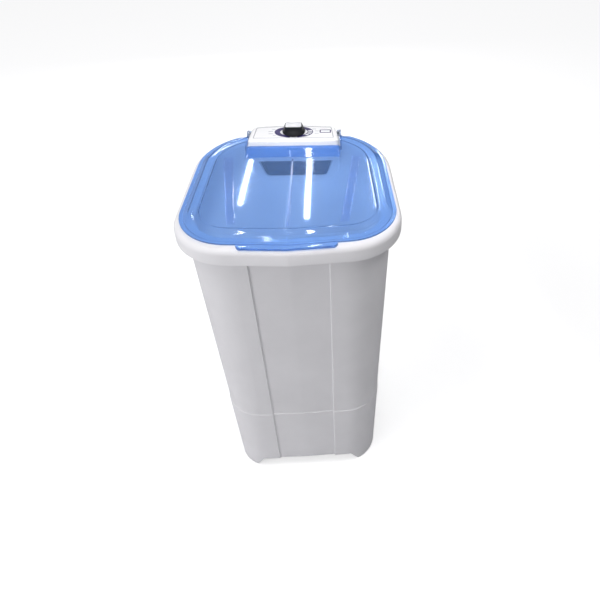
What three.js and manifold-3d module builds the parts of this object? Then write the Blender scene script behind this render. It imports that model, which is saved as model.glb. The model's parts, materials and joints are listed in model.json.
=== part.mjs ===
// Semi-automatic single-tub washing machine, in millimetres.
// +Z is up, +X is to the right and +Y is to the rear; it stands on z = 0 with the origin
// under the middle of the rim.

import * as THREE from 'three';
import { mergeVertices } from 'three/addons/utils/BufferGeometryUtils.js';
import Module from 'manifold-3d';

const wasm = await Module();
wasm.setup();

// Gaps and overruns shared by all pieces
const fitGap = 0.3;
const slideGap = 0.6;
const cutOverrun = 4;
const leastRadius = 1;

// Plan outlines: half widths at the front and rear corners, reach to the front and back,
// how far the corners fall back from the middle, and the rounding of each corner
const rimPlan = {
  halfFront: 262, halfRear: 238, front: 261, back: 261, bowFront: 18, bowRear: 12,
  frontCorner: 130, rearCorner: 176, nose: 3, tail: 60,
};
const cabinetTopPlan = {
  halfFront: 236, halfRear: 222, front: 248, back: 249, bowFront: 9, bowRear: 9,
  frontCorner: 118, rearCorner: 158, nose: 60, tail: 60,
};
const cabinetFootPlan = {
  halfFront: 198, halfRear: 196, front: 220, back: 218, bowFront: 5, bowRear: 4,
  frontCorner: 84, rearCorner: 92, nose: 60, tail: 60,
};
const basinFloorPlan = {
  halfFront: 178, halfRear: 172, front: 184, back: 184, bowFront: 6, bowRear: 6,
  frontCorner: 85, rearCorner: 90, nose: 60, tail: 60,
};
const noseSteps = 2;
const cornerSteps = 6;
const tailSteps = 2;
const roundSteps = 3;

// Rim and tub
const rimTop = 852;
const skirtHeight = 40;
const skirtWall = 4;
const rimRound = 14;
const deckWidth = 36;
const mouthRound = 8;
const tubWall = 4;
const basinFloorHeight = 370;
const basinFloorRound = 28;
const recessRadius = 140;
const recessDepth = 18;
const recessRound = 5;
const hubPlateThickness = 10;
const hubHoleRadius = 22;

// Cabinet
const padHeight = 3;
const cabinetWall = 3.5;
const ledgeHeight = 254;
const ledgeStep = 1.75;
const ledgeRise = 2;
const lipDrop = 36;
const lipThickness = 3;
const panelHalfTop = 90;
const panelHalfFoot = 80;
const panelDepth = 3.5;
const panelRamp = 2.5;
const footInnerX = 151;
const footInnerY = 150;
const plinthRise = 38;
const plinthRun = 26;
const soleThickness = 3.5;
const padRadius = 15;
const padStemRadius = 5;
const padStemHeight = 9;
const padX = 166;
const padY = 176;

// Rear apron of the tub, its timer well and its filter pocket
const apronHalfTop = 120;
const apronHalfFoot = 117;
const apronNoseY = 160;
const apronNoseDepth = 7;
const apronFaceY = 178;
const apronFaceDrop = 16;
const apronFootY = 205;
const apronDepth = 130;
const apronArcRise = 9;
const wellHalf = 34;
const wellFrontY = 189;
const wellBackY = 238;
const wellDepth = 28;
const slotDrop = 49;
const slotDepth = 54;
const slotHalfTop = 99;
const slotHalfFoot = 81;
const slotRound = 13;
const pocketWall = 3;
const pocketBackY = 222;

// Console
const consoleFrontY = 157;
const consoleHalfFront = 117;
const consoleHalfRear = 109;
const consoleRearY = 236;
const consoleTailY = 247;
const consoleHeight = 30;
const consoleWall = 3;
const consoleFrontRound = 8;
const consoleRearRound = 18;
const consoleTailRound = 120;
const consoleEdge = 4;
const fasciaInset = 6;
const fasciaThickness = 1.2;
const ringHalfX = 50;
const ringHalfY = 30;
const ringInnerX = 36;
const ringInnerY = 23;
const ringThickness = 0.8;

// Timer, its shaft and its knob
const knobY = 200;
const shaftRadius = 3;
const shaftHoleRadius = 5;
const timerHalf = 30;
const timerFrontY = 191;
const timerBackY = 232;
const timerHeight = 40;
const timerBossRadius = 9;
const knobRadius = 29.5;
const knobHeight = 20;
const knobSkirt = 3;
const knobBarHalfX = 23;
const knobBarHalfY = 16;
const knobBarRound = 7;
const knobRoof = 6;
const insertInset = 2;
const insertDepth = 1;
const insertThickness = 1.6;
const pointerHalf = 1.2;
const pointerLength = 5;
const pointerDepth = 0.8;

// Lid
const lidInset = 12;
const lidInsetFront = 20;
const lidWall = 3;
const lidFlange = 8;
const lidWallRun = 12;
const lidShoulderRise = 10.7;
const lidCrownRise = 15.7;
const lidCrownFall = 3;
const lidBand = 22;
const lidPanelRise = 2.2;
const notchHalf = 119.8;
const notchFrontY = 153;
const rampStartY = 100;
const rampHalf = 119.3;
const rampRise = 1.5;
const gripHalf = 108;
const gripInset = 3;
const gripReach = 32;
const gripThickness = 6;
const hingeY = 225;
const hingeRise = 14;
const earRadius = 9;
const earInner = 112.4;
const earOuter = 124;
const cheekStartY = 196;
const pinRadius = 3;
const pinInnerX = 100;
const lidOpenAngle = 95;

// Impeller and its shaft
const impellerRadius = 131;
const impellerGap = 4;
const impellerEdge = 6;
const impellerCrown = 28;
const impellerHubRadius = 24;
const vaneCount = 6;
const vaneInnerRadius = 30;
const vaneOuterRadius = 124;
const vaneHeight = 16;
const vaneSweep = 0.5;
const vaneFootHalf = 9;
const vaneTopHalf = 4;
const impellerShaftRadius = 7;
const threadRadius = 5;
const capRadius = 21;
const capHeight = 9;
const capBoltRadius = 7;
const capBoltHeight = 4;

// Bearing housing under the tub
const flangeRadius = 60;
const flangeThickness = 8;
const barrelRadius = 20;
const barrelLength = 104;
const bushRadius = 12;
const bushLength = 20;
const sealRadius = 20;
const sealHeight = 6;
const housingBoltCircle = 50;
const boltRadius = 3;
const boltHeadRadius = 6;
const boltHeadHeight = 4;
const boltReach = 7;
const gussetCount = 3;
const gussetThickness = 4;
const gussetReach = 14;
const housingBoltCount = 3;

// Belt drive
const beltThickness = 4;
const beltWidth = 10;
const pulleyFlange = 3;
const pulleyLip = 6;
const bigPulleyRadius = 82;
const smallPulleyRadius = 22;
const pulleyHubRadius = 15;
const pulleyHubHeight = 26;
const pulleyWeb = 5;
const pulleyHoleCount = 5;
const pulleyHoleRadius = 13;
const pulleyGap = 6;
const nutRadius = 9;
const nutHeight = 8;

// Motor, its bracket and its capacitor
const motorX = 99;
const motorY = 99;
const motorRadius = 60;
const statorHeight = 50;
const statorBore = 38;
const endBellHeight = 20;
const endBellWall = 5;
const motorShaftRadius = 5;
const motorBoltCircle = 50;
const motorBoltRadius = 2.5;
const motorBoltCount = 4;
const bellVentCount = 4;
const bracketThickness = 3;
const bracketMargin = 8;
const fanRadius = 42;
const fanHeight = 7;
const fanHub = 12;
const fanBladeCount = 5;
const fanBladeThickness = 2;
const capacitorRadius = 20;
const capacitorHeight = 64;
const capacitorX = -50;
const capacitorY = -30;
const clampWall = 1.5;
const clampHeight = 14;

// Drain
const drainReach = 165;
const drainHoleRadius = 14;
const grilleRadius = 17;
const grilleThickness = 2.5;
const grilleHoleRadius = 2.5;
const grilleHoleCount = 6;
const grilleHoleCircle = 9;
const pipeRadius = 15;
const pipeWall = 2.2;
const elbowLength = 40;
const elbowFlangeRadius = 18;
const elbowFlangeThickness = 4;
const hoseWall = 3;
const outletX = -66;
const outletHeight = 62;
const outletInside = 32;
const outletOutside = 22;
const outletFlangeRadius = 22;
const outletFlangeThickness = 3;
const clipBandWidth = 8;
const clipBandWall = 1.5;

// Rear cover, its screws and the cable gland
const coverHalf = 112;
const coverFoot = 92;
const coverTop = 244;
const coverOverlap = 12;
const coverThickness = 2.5;
const coverRound = 14;
const ventCount = 5;
const ventPitch = 16;
const ventHalf = 58;
const ventHeight = 5;
const coverScrewInset = 6;
const coverScrewRadius = 1.8;
const coverScrewHead = 4;
const coverScrewHeadHeight = 2.2;
const coverScrewLength = 10;
const screwHoleRadius = 2.4;
const glandX = 84;
const glandHeight = 300;
const glandRadius = 7;
const glandBore = 4;
const glandFlangeRadius = 12;
const glandFlangeThickness = 5;
const glandInside = 9;

// Motor lead
const leadRadius = 3.5;
const leadX = 20;
const leadSides = 6;
const leadSteps = 20;
const leadClipHalf = 7;
const leadClipWall = 2.5;
const leadClipZ = 600;

// Facets round a circle, with six for the smallest rounds and for hexagons
const fineSides = 24;
const roundSides = 18;
const smallSides = 10;
const boltSides = 6;
const beltSteps = 12;

// Heights worked out from the sizes above
const skirtFoot = rimTop - skirtHeight;
const deckUnderside = rimTop - tubWall;
const recessFloor = basinFloorHeight - recessDepth;
const hubUnderside = recessFloor - hubPlateThickness;
const flangeTop = hubUnderside - fitGap;
const bracketTop = flangeTop - flangeThickness - fitGap;
const bracketUnderside = bracketTop - bracketThickness;
const barrelFoot = flangeTop - barrelLength;
const bigHubTop = barrelFoot - pulleyGap;
const bigHubFoot = bigHubTop - pulleyHubHeight;
const pulleyHeight = beltWidth + 2 * (pulleyFlange + fitGap);
const pulleyTop = bigHubTop - pulleyFlange;
const pulleyFoot = pulleyTop - pulleyHeight;
const beltFoot = pulleyFoot + pulleyFlange + fitGap;
const motorTop = bracketUnderside - fitGap;
const statorTop = motorTop - endBellHeight - fitGap;
const statorFoot = statorTop - statorHeight;
const motorFoot = statorFoot - fitGap - endBellHeight;
const consoleBase = rimTop + fitGap;
const consoleTop = rimTop + consoleHeight;
const fasciaBase = consoleTop + fitGap;
const fasciaTop = fasciaBase + fasciaThickness;
const ringBase = fasciaTop + fitGap;
const ringTop = ringBase + ringThickness;
const knobBase = ringTop + fitGap;
const knobTop = knobBase + knobHeight;
const lidBase = rimTop + fitGap;
const lidShoulder = lidBase + lidShoulderRise;
const lidCrown = lidBase + lidCrownRise;
const hingeZ = rimTop + hingeRise;
const apronFootHeight = rimTop - apronDepth;
const slotTopHeight = rimTop - slotDrop;
const slotFootHeight = slotTopHeight - slotDepth;
const lipHeight = rimTop - lipDrop;
const cabinetTop = deckUnderside - fitGap;

// Surface finishes
const finish = (color, roughness, metalness = 0) =>
  new THREE.MeshStandardMaterial({ color, roughness, metalness });
const whitePlastic = finish(0xe9e8ec, 0.42);
const rimPlastic = finish(0xf3f2f6, 0.34);
const consolePlastic = finish(0xfbfbfc, 0.3);
const lidPlastic = new THREE.MeshStandardMaterial({
  color: 0x7ba2e4, roughness: 0.12, metalness: 0, transparent: true, opacity: 0.6,
});
const filterPlastic = finish(0x3a5296, 0.4);
const knobPlastic = finish(0x1b1d25, 0.38);
const silverFinish = finish(0xc4c5c9, 0.32, 0.7);
const indigoPrint = finish(0x2b2060, 0.45);
const greyPlastic = finish(0x8f9296, 0.5);
const darkPlastic = finish(0x2f3134, 0.5);
const blackRubber = finish(0x1c1c1d, 0.85);
const steelFinish = finish(0xa9adb1, 0.35, 0.9);
const zincFinish = finish(0xb9bcbe, 0.45, 0.8);
const bronzeFinish = finish(0x9a7446, 0.45, 0.85);
const castAluminium = finish(0xb4b6b8, 0.55, 0.8);

const machine = new THREE.Group();

// Vector helpers
const at = (x, y) => new THREE.Vector2(x, y);
const left = (v) => at(-v.y, v.x);
const raise = (points, z) => points.map((p) => new THREE.Vector3(p.x, p.y, z));
const mix = THREE.MathUtils.lerp;

// One plan outline between two others
function blendPlan(low, high, share) {
  return Object.fromEntries(Object.keys(low).map((key) => [key, mix(low[key], high[key], share)]));
}

// The six corners of a plan outline, counter-clockwise from the middle of the front
function planCorners(plan) {
  const { halfFront, halfRear, front, back, bowFront, bowRear } = plan;
  return [
    { x: 0, y: -front, radius: plan.nose, steps: noseSteps },
    { x: halfFront, y: bowFront - front, radius: plan.frontCorner, steps: cornerSteps },
    { x: halfRear, y: back - bowRear, radius: plan.rearCorner, steps: cornerSteps },
    { x: 0, y: back, radius: plan.tail, steps: tailSteps },
    { x: -halfRear, y: back - bowRear, radius: plan.rearCorner, steps: cornerSteps },
    { x: -halfFront, y: bowFront - front, radius: plan.frontCorner, steps: cornerSteps },
  ];
}

// Rounded polygon from counter-clockwise corners, moved inwards by an inset
function roundedOutline(corners, inset = 0) {
  const count = corners.length;
  const edges = corners.map((corner, i) => {
    const next = corners[(i + 1) % count];
    const along = at(next.x - corner.x, next.y - corner.y).normalize();
    const start = at(corner.x, corner.y).addScaledVector(left(along), inset);
    return { start, along };
  });
  return corners.flatMap((corner, i) => {
    const before = edges[(i + count - 1) % count];
    const after = edges[i];
    const turn = before.along.cross(after.along);
    const reach = after.start.clone().sub(before.start).cross(after.along) / turn;
    const vertex = before.start.clone().addScaledVector(before.along, reach);
    const angle = Math.atan2(turn, before.along.dot(after.along));
    const radius = Math.max(corner.radius - inset, leastRadius);
    const centre = vertex
      .addScaledVector(before.along, -radius * Math.tan(angle / 2))
      .addScaledVector(left(before.along), radius);
    const spoke = left(before.along).multiplyScalar(-radius);
    return Array.from({ length: corner.steps + 1 }, (_, k) =>
      spoke.clone().rotateAround(at(0, 0), (angle * k) / corner.steps).add(centre));
  });
}

const planOutline = (plan, inset = 0) => roundedOutline(planCorners(plan), inset);
const planPointCount = planOutline(rimPlan).length;

// Circle with as many points as a plan outline, starting where that one starts
function circleOutline(radius, x = 0, y = 0, count = planPointCount) {
  return Array.from({ length: count }, (_, i) => {
    const angle = (2 * Math.PI * (i - noseSteps / 2)) / count - Math.PI / 2;
    return at(x + radius * Math.cos(angle), y + radius * Math.sin(angle));
  });
}

// Outline whose front is set back between two short ramps
function panelOutline(outline, half, depth) {
  const frontPoints = outline.slice(0, noseSteps + 1);
  const others = outline.slice(noseSteps + 1);
  const edgeAt = (from, to, x) => at(x, mix(from.y, to.y, (x - from.x) / (to.x - from.x)));
  const right = (x) => edgeAt(frontPoints[noseSteps], others[0], x);
  const leftSide = (x) => edgeAt(frontPoints[0], others[others.length - 1], x);
  const back = at(0, depth);
  return [
    ...frontPoints.map((p) => p.clone().add(back)),
    right(half - panelRamp).add(back), right(half),
    ...others,
    leftSide(-half), leftSide(panelRamp - half).add(back),
  ];
}

// Side faces between rings of equally many points, capped or closed on themselves
function skin(rings, loop = false) {
  const count = rings[0].length;
  const points = rings.flat();
  const index = [];
  const bandCount = loop ? rings.length : rings.length - 1;
  for (let band = 0; band < bandCount; band += 1) {
    const low = band * count;
    const high = ((band + 1) % rings.length) * count;
    for (let i = 0; i < count; i += 1) {
      const j = (i + 1) % count;
      index.push(low + i, low + j, high + j, low + i, high + j, high + i);
    }
  }
  if (!loop) {
    const middle = (ring) => ring.reduce((sum, p) => sum.add(p), new THREE.Vector3()).divideScalar(count);
    const last = (rings.length - 1) * count;
    points.push(middle(rings[0]), middle(rings[rings.length - 1]));
    for (let i = 0; i < count; i += 1) {
      const j = (i + 1) % count;
      index.push(points.length - 2, j, i, points.length - 1, last + i, last + j);
    }
  }
  const geometry = new THREE.BufferGeometry().setFromPoints(points);
  geometry.setIndex(index);
  return toSolid(geometry);
}

// Closed geometry to a boolean solid with its faces pointing out
function toSolid(geometry) {
  const bare = geometry.clone();
  bare.deleteAttribute('normal');
  bare.deleteAttribute('uv');
  const merged = mergeVertices(bare);
  const { array } = merged.attributes.position;
  const source = merged.index.array;
  const triVerts = [];
  let volume = 0;
  for (let t = 0; t < source.length; t += 3) {
    const [a, b, c] = [source[t], source[t + 1], source[t + 2]];
    if (a !== b && b !== c && c !== a) {
      const [p, q, r] = [a, b, c].map((v) => new THREE.Vector3().fromArray(array, 3 * v));
      volume += p.dot(q.cross(r));
      triVerts.push(a, b, c);
    }
  }
  if (volume < 0) triVerts.reverse();
  return new wasm.Manifold(new wasm.Mesh({
    numProp: 3, vertProperties: new Float32Array(array), triVerts: new Uint32Array(triVerts),
  }));
}

// Boolean solid to a named mesh of the machine
function addPiece(name, solid, material) {
  const { vertProperties, triVerts } = solid.getMesh();
  const geometry = new THREE.BufferGeometry();
  geometry.setAttribute('position', new THREE.BufferAttribute(vertProperties, 3));
  geometry.setIndex(new THREE.BufferAttribute(triVerts, 1));
  geometry.computeVertexNormals();
  const mesh = new THREE.Mesh(geometry, material);
  mesh.name = name;
  machine.add(mesh);
  return mesh;
}

// Identical pieces as numbered meshes
const addSet = (name, solids, material) =>
  solids.forEach((solid, i) => addPiece(`${name}_${i + 1}`, solid, material));

const join = (solids) => solids.reduce((sum, solid) => sum.add(solid));
const cutAll = (solid, tools) => tools.reduce((rest, tool) => rest.subtract(tool), solid);

// Flat outline drawn in two of the axes and extruded along the third
const axisX = new THREE.Vector3(1, 0, 0);
const axisY = new THREE.Vector3(0, 1, 0);
const axisZ = new THREE.Vector3(0, 0, 1);
const planes = { XY: [axisX, axisY, axisZ], XZ: [axisX, axisZ, axisY], YZ: [axisY, axisZ, axisX] };
function prism(outline, plane, from, to, curveSegments = boltSides) {
  const shape = outline instanceof THREE.Shape ? outline : new THREE.Shape(outline);
  const geometry = new THREE.ExtrudeGeometry(shape, {
    depth: to - from, bevelEnabled: false, curveSegments,
  });
  geometry.translate(0, 0, from);
  geometry.applyMatrix4(new THREE.Matrix4().makeBasis(...planes[plane]));
  return toSolid(geometry);
}

// Block between two opposite corners
function block(from, to) {
  const geometry = new THREE.BoxGeometry(to[0] - from[0], to[1] - from[1], to[2] - from[2]);
  geometry.translate((from[0] + to[0]) / 2, (from[1] + to[1]) / 2, (from[2] + to[2]) / 2);
  return toSolid(geometry);
}

// Body of revolution about a vertical axis from its half outline of [radius, height] points
function turned(profile, sides = roundSides, x = 0, y = 0) {
  const closed = [...profile, profile[0]].map(([radius, height]) => at(radius, height));
  const geometry = new THREE.LatheGeometry(closed, sides);
  geometry.rotateX(Math.PI / 2);
  geometry.translate(x, y, 0);
  return toSolid(geometry);
}
const rod = (radius, foot, top, sides = roundSides, x = 0, y = 0) =>
  turned([[0, foot], [radius, foot], [radius, top], [0, top]], sides, x, y);
const tubePiece = (bore, radius, foot, top, sides = roundSides, x = 0, y = 0) =>
  turned([[bore, foot], [radius, foot], [radius, top], [bore, top]], sides, x, y);

// Faceted bore that clears a round of the given radius
const boreAround = (radius, sides) => (radius + fitGap) / Math.cos(Math.PI / sides);

// Copies of a solid turned evenly about a vertical axis, as a list or joined
const copiesRound = (solid, count, x = 0, y = 0, start = 0) =>
  Array.from({ length: count }, (_, i) =>
    solid.rotate([0, 0, start + (360 * i) / count]).translate([x, y, 0]));
const aroundAxis = (...copies) => join(copiesRound(...copies));

// A round rod along X between two places
function crossRod(radius, fromX, toX, y, z, sides = smallSides) {
  const geometry = new THREE.CylinderGeometry(radius, radius, toX - fromX, sides);
  geometry.rotateZ(Math.PI / 2);
  geometry.translate((fromX + toX) / 2, y, z);
  return toSolid(geometry);
}

// Section swept along a smooth route
function swept(section, route, steps) {
  const path = new THREE.CatmullRomCurve3(route, false, 'centripetal');
  return toSolid(new THREE.ExtrudeGeometry(section, {
    steps, bevelEnabled: false, extrudePath: path, curveSegments: leadSides,
  }));
}
function ringSection(radius, bore, sides) {
  const circle = (r) => circleOutline(r, 0, 0, sides);
  const section = new THREE.Shape(circle(radius));
  if (bore > 0) section.holes.push(new THREE.Path(circle(bore).reverse()));
  return section;
}

// Cabinet walls: plan at a height, and how far back the rear wall lies there
const cabinetPlan = (z) => blendPlan(cabinetFootPlan, cabinetTopPlan, z / skirtFoot);
const panelHalf = (z) => mix(panelHalfFoot, panelHalfTop, z / skirtFoot);
const cabinetRing = (z, inset) =>
  raise(panelOutline(planOutline(cabinetPlan(z), inset), panelHalf(z), panelDepth), z);
function rearWallY(x, z) {
  const plan = cabinetPlan(z);
  const step = z > ledgeHeight ? ledgeStep : 0;
  return plan.back - (plan.bowRear * Math.abs(x)) / plan.halfRear - step;
}
const wallTilt = THREE.MathUtils.radToDeg(
  Math.atan((cabinetTopPlan.back - cabinetFootPlan.back) / skirtFoot));

// Solid drawn on the Z axis, with its origin on the wall, moved to the cabinet's rear wall
const onRearWall = (solid, x, z) =>
  solid.rotate([-90 - wallTilt, 0, 0]).translate([x, rearWallY(x, z), z]);

// Basin walls: plan at a height, and where the outside of its rear wall lies there
const mouthInset = rimRound + deckWidth;
const mouthHeight = rimTop - mouthRound;
const basinRoundTop = basinFloorHeight + basinFloorRound;
const mouthBack = rimPlan.back - mouthInset;
function basinRearY(z) {
  const share = (z - basinRoundTop) / (mouthHeight - basinRoundTop);
  return mix(basinFloorPlan.back, mouthBack, share) + tubWall;
}

function makeCabinet() {
  const lipRing = (z) => raise(
    panelOutline(planOutline(rimPlan, skirtWall + fitGap), panelHalf(z), 0), z);
  const upper = ledgeStep + cabinetWall;
  const ledgeTop = ledgeHeight + ledgeRise;
  const lipTop = lipHeight + lipThickness;
  const walls = skin([
    cabinetRing(padHeight, 0), cabinetRing(ledgeHeight, 0), cabinetRing(ledgeTop, ledgeStep),
    cabinetRing(lipHeight, ledgeStep), lipRing(lipHeight), lipRing(lipTop),
    cabinetRing(lipTop, ledgeStep), cabinetRing(cabinetTop, ledgeStep),
    cabinetRing(cabinetTop, upper), cabinetRing(ledgeTop, upper),
    cabinetRing(ledgeHeight, cabinetWall), cabinetRing(padHeight, cabinetWall),
  ], true);
  const reach = rimPlan.front + cutOverrun;
  const plinthCut = (half) => [
    at(-half - cutOverrun, -cutOverrun), at(half + cutOverrun, -cutOverrun),
    at(half - plinthRun, plinthRise), at(plinthRun - half, plinthRise),
  ];
  const soleTop = padHeight + soleThickness;
  const soleInset = cabinetWall / 2;
  const slab = skin([cabinetRing(padHeight, soleInset), cabinetRing(soleTop, soleInset)]);
  const soles = cutAll(slab, [
    block([-footInnerX, -reach, -cutOverrun], [footInnerX, reach, soleTop + cutOverrun]),
    block([-reach, -footInnerY, -cutOverrun], [reach, footInnerY, soleTop + cutOverrun]),
  ]);
  const padHoles = padPlaces().map(({ x, y }) =>
    rod(padStemRadius + fitGap, -cutOverrun, soleTop + cutOverrun, smallSides, x, y));
  const opening = prism(coverOutline(coverOverlap), 'XZ', wallInnerReach, reach);
  const outletHole = onRearWall(
    rod(pipeRadius + fitGap, -outletInside, outletOutside, smallSides), outletX, outletHeight);
  const glandHole = onRearWall(
    rod(glandRadius + fitGap, -glandInside, glandFlangeThickness, smallSides), glandX, glandHeight);
  const screwHoles = coverScrewPlaces().map(({ x, z }) =>
    onRearWall(rod(screwHoleRadius, -coverScrewLength, coverScrewLength, boltSides), x, z));
  return cutAll(walls.add(soles), [
    prism(plinthCut(footInnerX), 'XZ', -reach, reach),
    prism(plinthCut(footInnerY), 'YZ', -reach, reach),
    ...padHoles, opening, outletHole, glandHole, ...screwHoles,
  ]);
}

// Rear service opening and the cover over it
const wallInnerReach = cabinetFootPlan.back / 2;
function coverOutline(inset) {
  return roundedOutline([
    { x: -coverHalf, y: coverFoot, radius: coverRound, steps: roundSteps },
    { x: coverHalf, y: coverFoot, radius: coverRound, steps: roundSteps },
    { x: coverHalf, y: coverTop, radius: coverRound, steps: roundSteps },
    { x: -coverHalf, y: coverTop, radius: coverRound, steps: roundSteps },
  ], inset);
}
function coverScrewPlaces() {
  const x = coverHalf - coverScrewInset;
  const heights = { lower: coverFoot + coverRound, upper: coverTop - coverRound };
  return Object.entries({ left: -x, right: x }).flatMap(([side, place]) =>
    Object.entries(heights).map(([level, z]) => ({ name: `${level}_${side}`, x: place, z })));
}
function makeRearCover() {
  const shell = (inset) => skin([cabinetRing(0, inset), cabinetRing(ledgeHeight, inset)]);
  const blank = shell(-fitGap - coverThickness).subtract(shell(-fitGap));
  const sheet = blank.intersect(
    prism(coverOutline(0), 'XZ', wallInnerReach, rimPlan.back));
  const middle = (coverFoot + coverTop) / 2;
  const vents = Array.from({ length: ventCount }, (_, row) => {
    const z = middle + (row - (ventCount - 1) / 2) * ventPitch;
    return block([-ventHalf, wallInnerReach, z - ventHeight / 2],
      [ventHalf, rimPlan.back, z + ventHeight / 2]);
  });
  const holes = coverScrewPlaces().map(({ x, z }) =>
    onRearWall(rod(screwHoleRadius, -coverScrewLength, coverScrewLength, boltSides), x, z));
  return cutAll(sheet, [...vents, ...holes]);
}
function makeCoverScrew(x, z) {
  const seat = coverThickness + 3 * fitGap;
  return onRearWall(turned([
    [0, seat - coverScrewLength], [coverScrewRadius, seat - coverScrewLength],
    [coverScrewRadius, seat], [coverScrewHead, seat],
    [coverScrewHead, seat + coverScrewHeadHeight / 2], [coverScrewHead / 2, seat + coverScrewHeadHeight],
    [0, seat + coverScrewHeadHeight],
  ], boltSides), x, z);
}

// Foot pads under the four corner soles
function padPlaces() {
  return [
    { name: 'front_left', x: -padX, y: -padY }, { name: 'front_right', x: padX, y: -padY },
    { name: 'rear_left', x: -padX, y: padY }, { name: 'rear_right', x: padX, y: padY },
  ];
}
function makePad(x, y) {
  const seat = padHeight - fitGap;
  return turned([
    [0, 0], [padRadius - padHeight / 2, 0], [padRadius, seat], [padStemRadius, seat],
    [padStemRadius, seat + padStemHeight], [0, seat + padStemHeight],
  ], smallSides, x, y);
}

// Tub: basin, rolled rim and skirt as one moulding, with the rear apron
function makeTub() {
  const rimRing = (inset, z) => raise(planOutline(rimPlan, inset), z);
  const floorRing = (inset, z) => raise(planOutline(basinFloorPlan, inset), z);
  const circleRing = (radius, z) => raise(circleOutline(radius), z);
  const roundPart = basinFloorRound / 3.5;
  const floorUnderside = basinFloorHeight - tubWall;
  const basinOutside = [
    rimRing(mouthInset - tubWall, mouthHeight),
    floorRing(-tubWall, basinRoundTop), floorRing(roundPart - tubWall, basinFloorHeight),
    floorRing(basinFloorRound - tubWall / 2, floorUnderside),
    circleRing(recessRadius + tubWall, floorUnderside),
    circleRing(recessRadius + tubWall, hubUnderside + recessRound),
    circleRing(recessRadius, hubUnderside),
  ];
  const shell = skin([
    circleRing(hubHoleRadius, recessFloor), circleRing(recessRadius - recessRound, recessFloor),
    circleRing(recessRadius, recessFloor + recessRound),
    circleRing(recessRadius, basinFloorHeight - tubWall / 2),
    floorRing(basinFloorRound, basinFloorHeight), floorRing(roundPart, basinFloorHeight + roundPart),
    floorRing(0, basinRoundTop),
    rimRing(mouthInset, mouthHeight), rimRing(mouthInset - mouthRound / 3, rimTop - mouthRound / 3),
    rimRing(mouthInset - mouthRound, rimTop),
    rimRing(rimRound, rimTop), rimRing(rimRound / 3, rimTop - rimRound / 5),
    rimRing(rimRound / 12, rimTop - rimRound / 2), rimRing(0, rimTop - rimRound),
    rimRing(0, skirtFoot + skirtWall / 2), rimRing(skirtWall / 3, skirtFoot),
    rimRing(skirtWall, skirtFoot), rimRing(skirtWall, deckUnderside - tubWall),
    rimRing(1.5 * skirtWall, deckUnderside),
    rimRing(mouthInset - mouthRound, deckUnderside),
    ...basinOutside,
    circleRing(hubHoleRadius, hubUnderside),
  ], true);
  const basinBulk = skin([rimRing(mouthInset - tubWall, rimTop), ...basinOutside]);
  const apron = makeApron().intersect(basinBulk);
  const slot = prism(slotOutline(0), 'XZ', apronNoseY - cutOverrun, pocketBackY, noseSteps);
  const pocket = prism(slotOutline(-pocketWall), 'XZ', apronFootY, pocketBackY + pocketWall, noseSteps);
  const well = block([-wellHalf, wellFrontY, rimTop - wellDepth], [wellHalf, wellBackY, rimTop + cutOverrun]);
  const drain = drainPlace();
  const drainHole = rod(drainHoleRadius, floorUnderside - cutOverrun, basinFloorHeight + cutOverrun,
    smallSides, drain.x, drain.y);
  const boltHoles = housingBoltHoles(hubUnderside - cutOverrun, hubUnderside + boltReach + fitGap);
  return cutAll(join([shell, apron, pocket]), [slot, well, drainHole, boltHoles]);
}

// Front wall of the apron and its nosing under the console, with an arched lower edge
function makeApron() {
  const side = [
    at(apronNoseY + lidWall, rimTop), at(apronNoseY, rimTop - lidWall),
    at(apronNoseY, rimTop - apronNoseDepth), at(apronFaceY, rimTop - apronFaceDrop),
    at(apronFootY, apronFootHeight - apronArcRise), at(consoleTailY, apronFootHeight - apronArcRise),
    at(consoleTailY, rimTop),
  ];
  const front = new THREE.Shape();
  front.moveTo(-apronHalfTop, rimTop);
  front.lineTo(-apronHalfFoot, apronFootHeight + apronArcRise);
  front.quadraticCurveTo(0, apronFootHeight - apronArcRise, apronHalfFoot, apronFootHeight + apronArcRise);
  front.lineTo(apronHalfTop, rimTop);
  const overrun = 2 * apronHalfTop;
  return prism(side, 'YZ', -overrun, overrun).intersect(
    prism(front, 'XZ', apronNoseY - cutOverrun, consoleTailY + cutOverrun, cornerSteps));
}

// Outline of the filter slot in the apron, wider at the top
function slotOutline(inset) {
  return roundedOutline([
    { x: -slotHalfFoot, y: slotFootHeight, radius: slotRound, steps: roundSteps },
    { x: slotHalfFoot, y: slotFootHeight, radius: slotRound, steps: roundSteps },
    { x: slotHalfTop, y: slotTopHeight, radius: leastRadius, steps: noseSteps },
    { x: -slotHalfTop, y: slotTopHeight, radius: leastRadius, steps: noseSteps },
  ], inset);
}

// Lint filter: a tray with a slatted back that slides out of the pocket, and its mesh
const filterWall = 2;
const filterFrontY = 199;
const filterSlats = 9;
const filterSlatShare = 0.45;
const filterMeshThickness = 0.8;
const pullHalf = 22;
const pullHeight = 8;
const filterBackY = pocketBackY - slideGap;
const filterMeshY = filterBackY - filterWall - filterMeshThickness - fitGap;
function makeFilterFrame() {
  const tray = prism(slotOutline(slideGap), 'XZ', filterFrontY, filterBackY, noseSteps)
    .subtract(prism(slotOutline(slideGap + filterWall), 'XZ',
      filterFrontY - cutOverrun, filterBackY - filterWall, noseSteps));
  const pitch = (2 * slotHalfFoot - 2 * slotRound) / filterSlats;
  const gapHalf = (pitch * filterSlatShare) / 2;
  const slits = Array.from({ length: filterSlats }, (_, i) => {
    const x = (i - (filterSlats - 1) / 2) * pitch;
    return block(
      [x - gapHalf, filterBackY - filterWall - cutOverrun, slotFootHeight + slotRound],
      [x + gapHalf, filterBackY + cutOverrun, slotTopHeight - slotRound]);
  });
  const pullTop = slotTopHeight - slideGap - filterWall / 2;
  const pull = block([-pullHalf, filterFrontY, pullTop - pullHeight],
    [pullHalf, filterFrontY + filterWall, pullTop]);
  return cutAll(tray, slits).add(pull);
}
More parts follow.
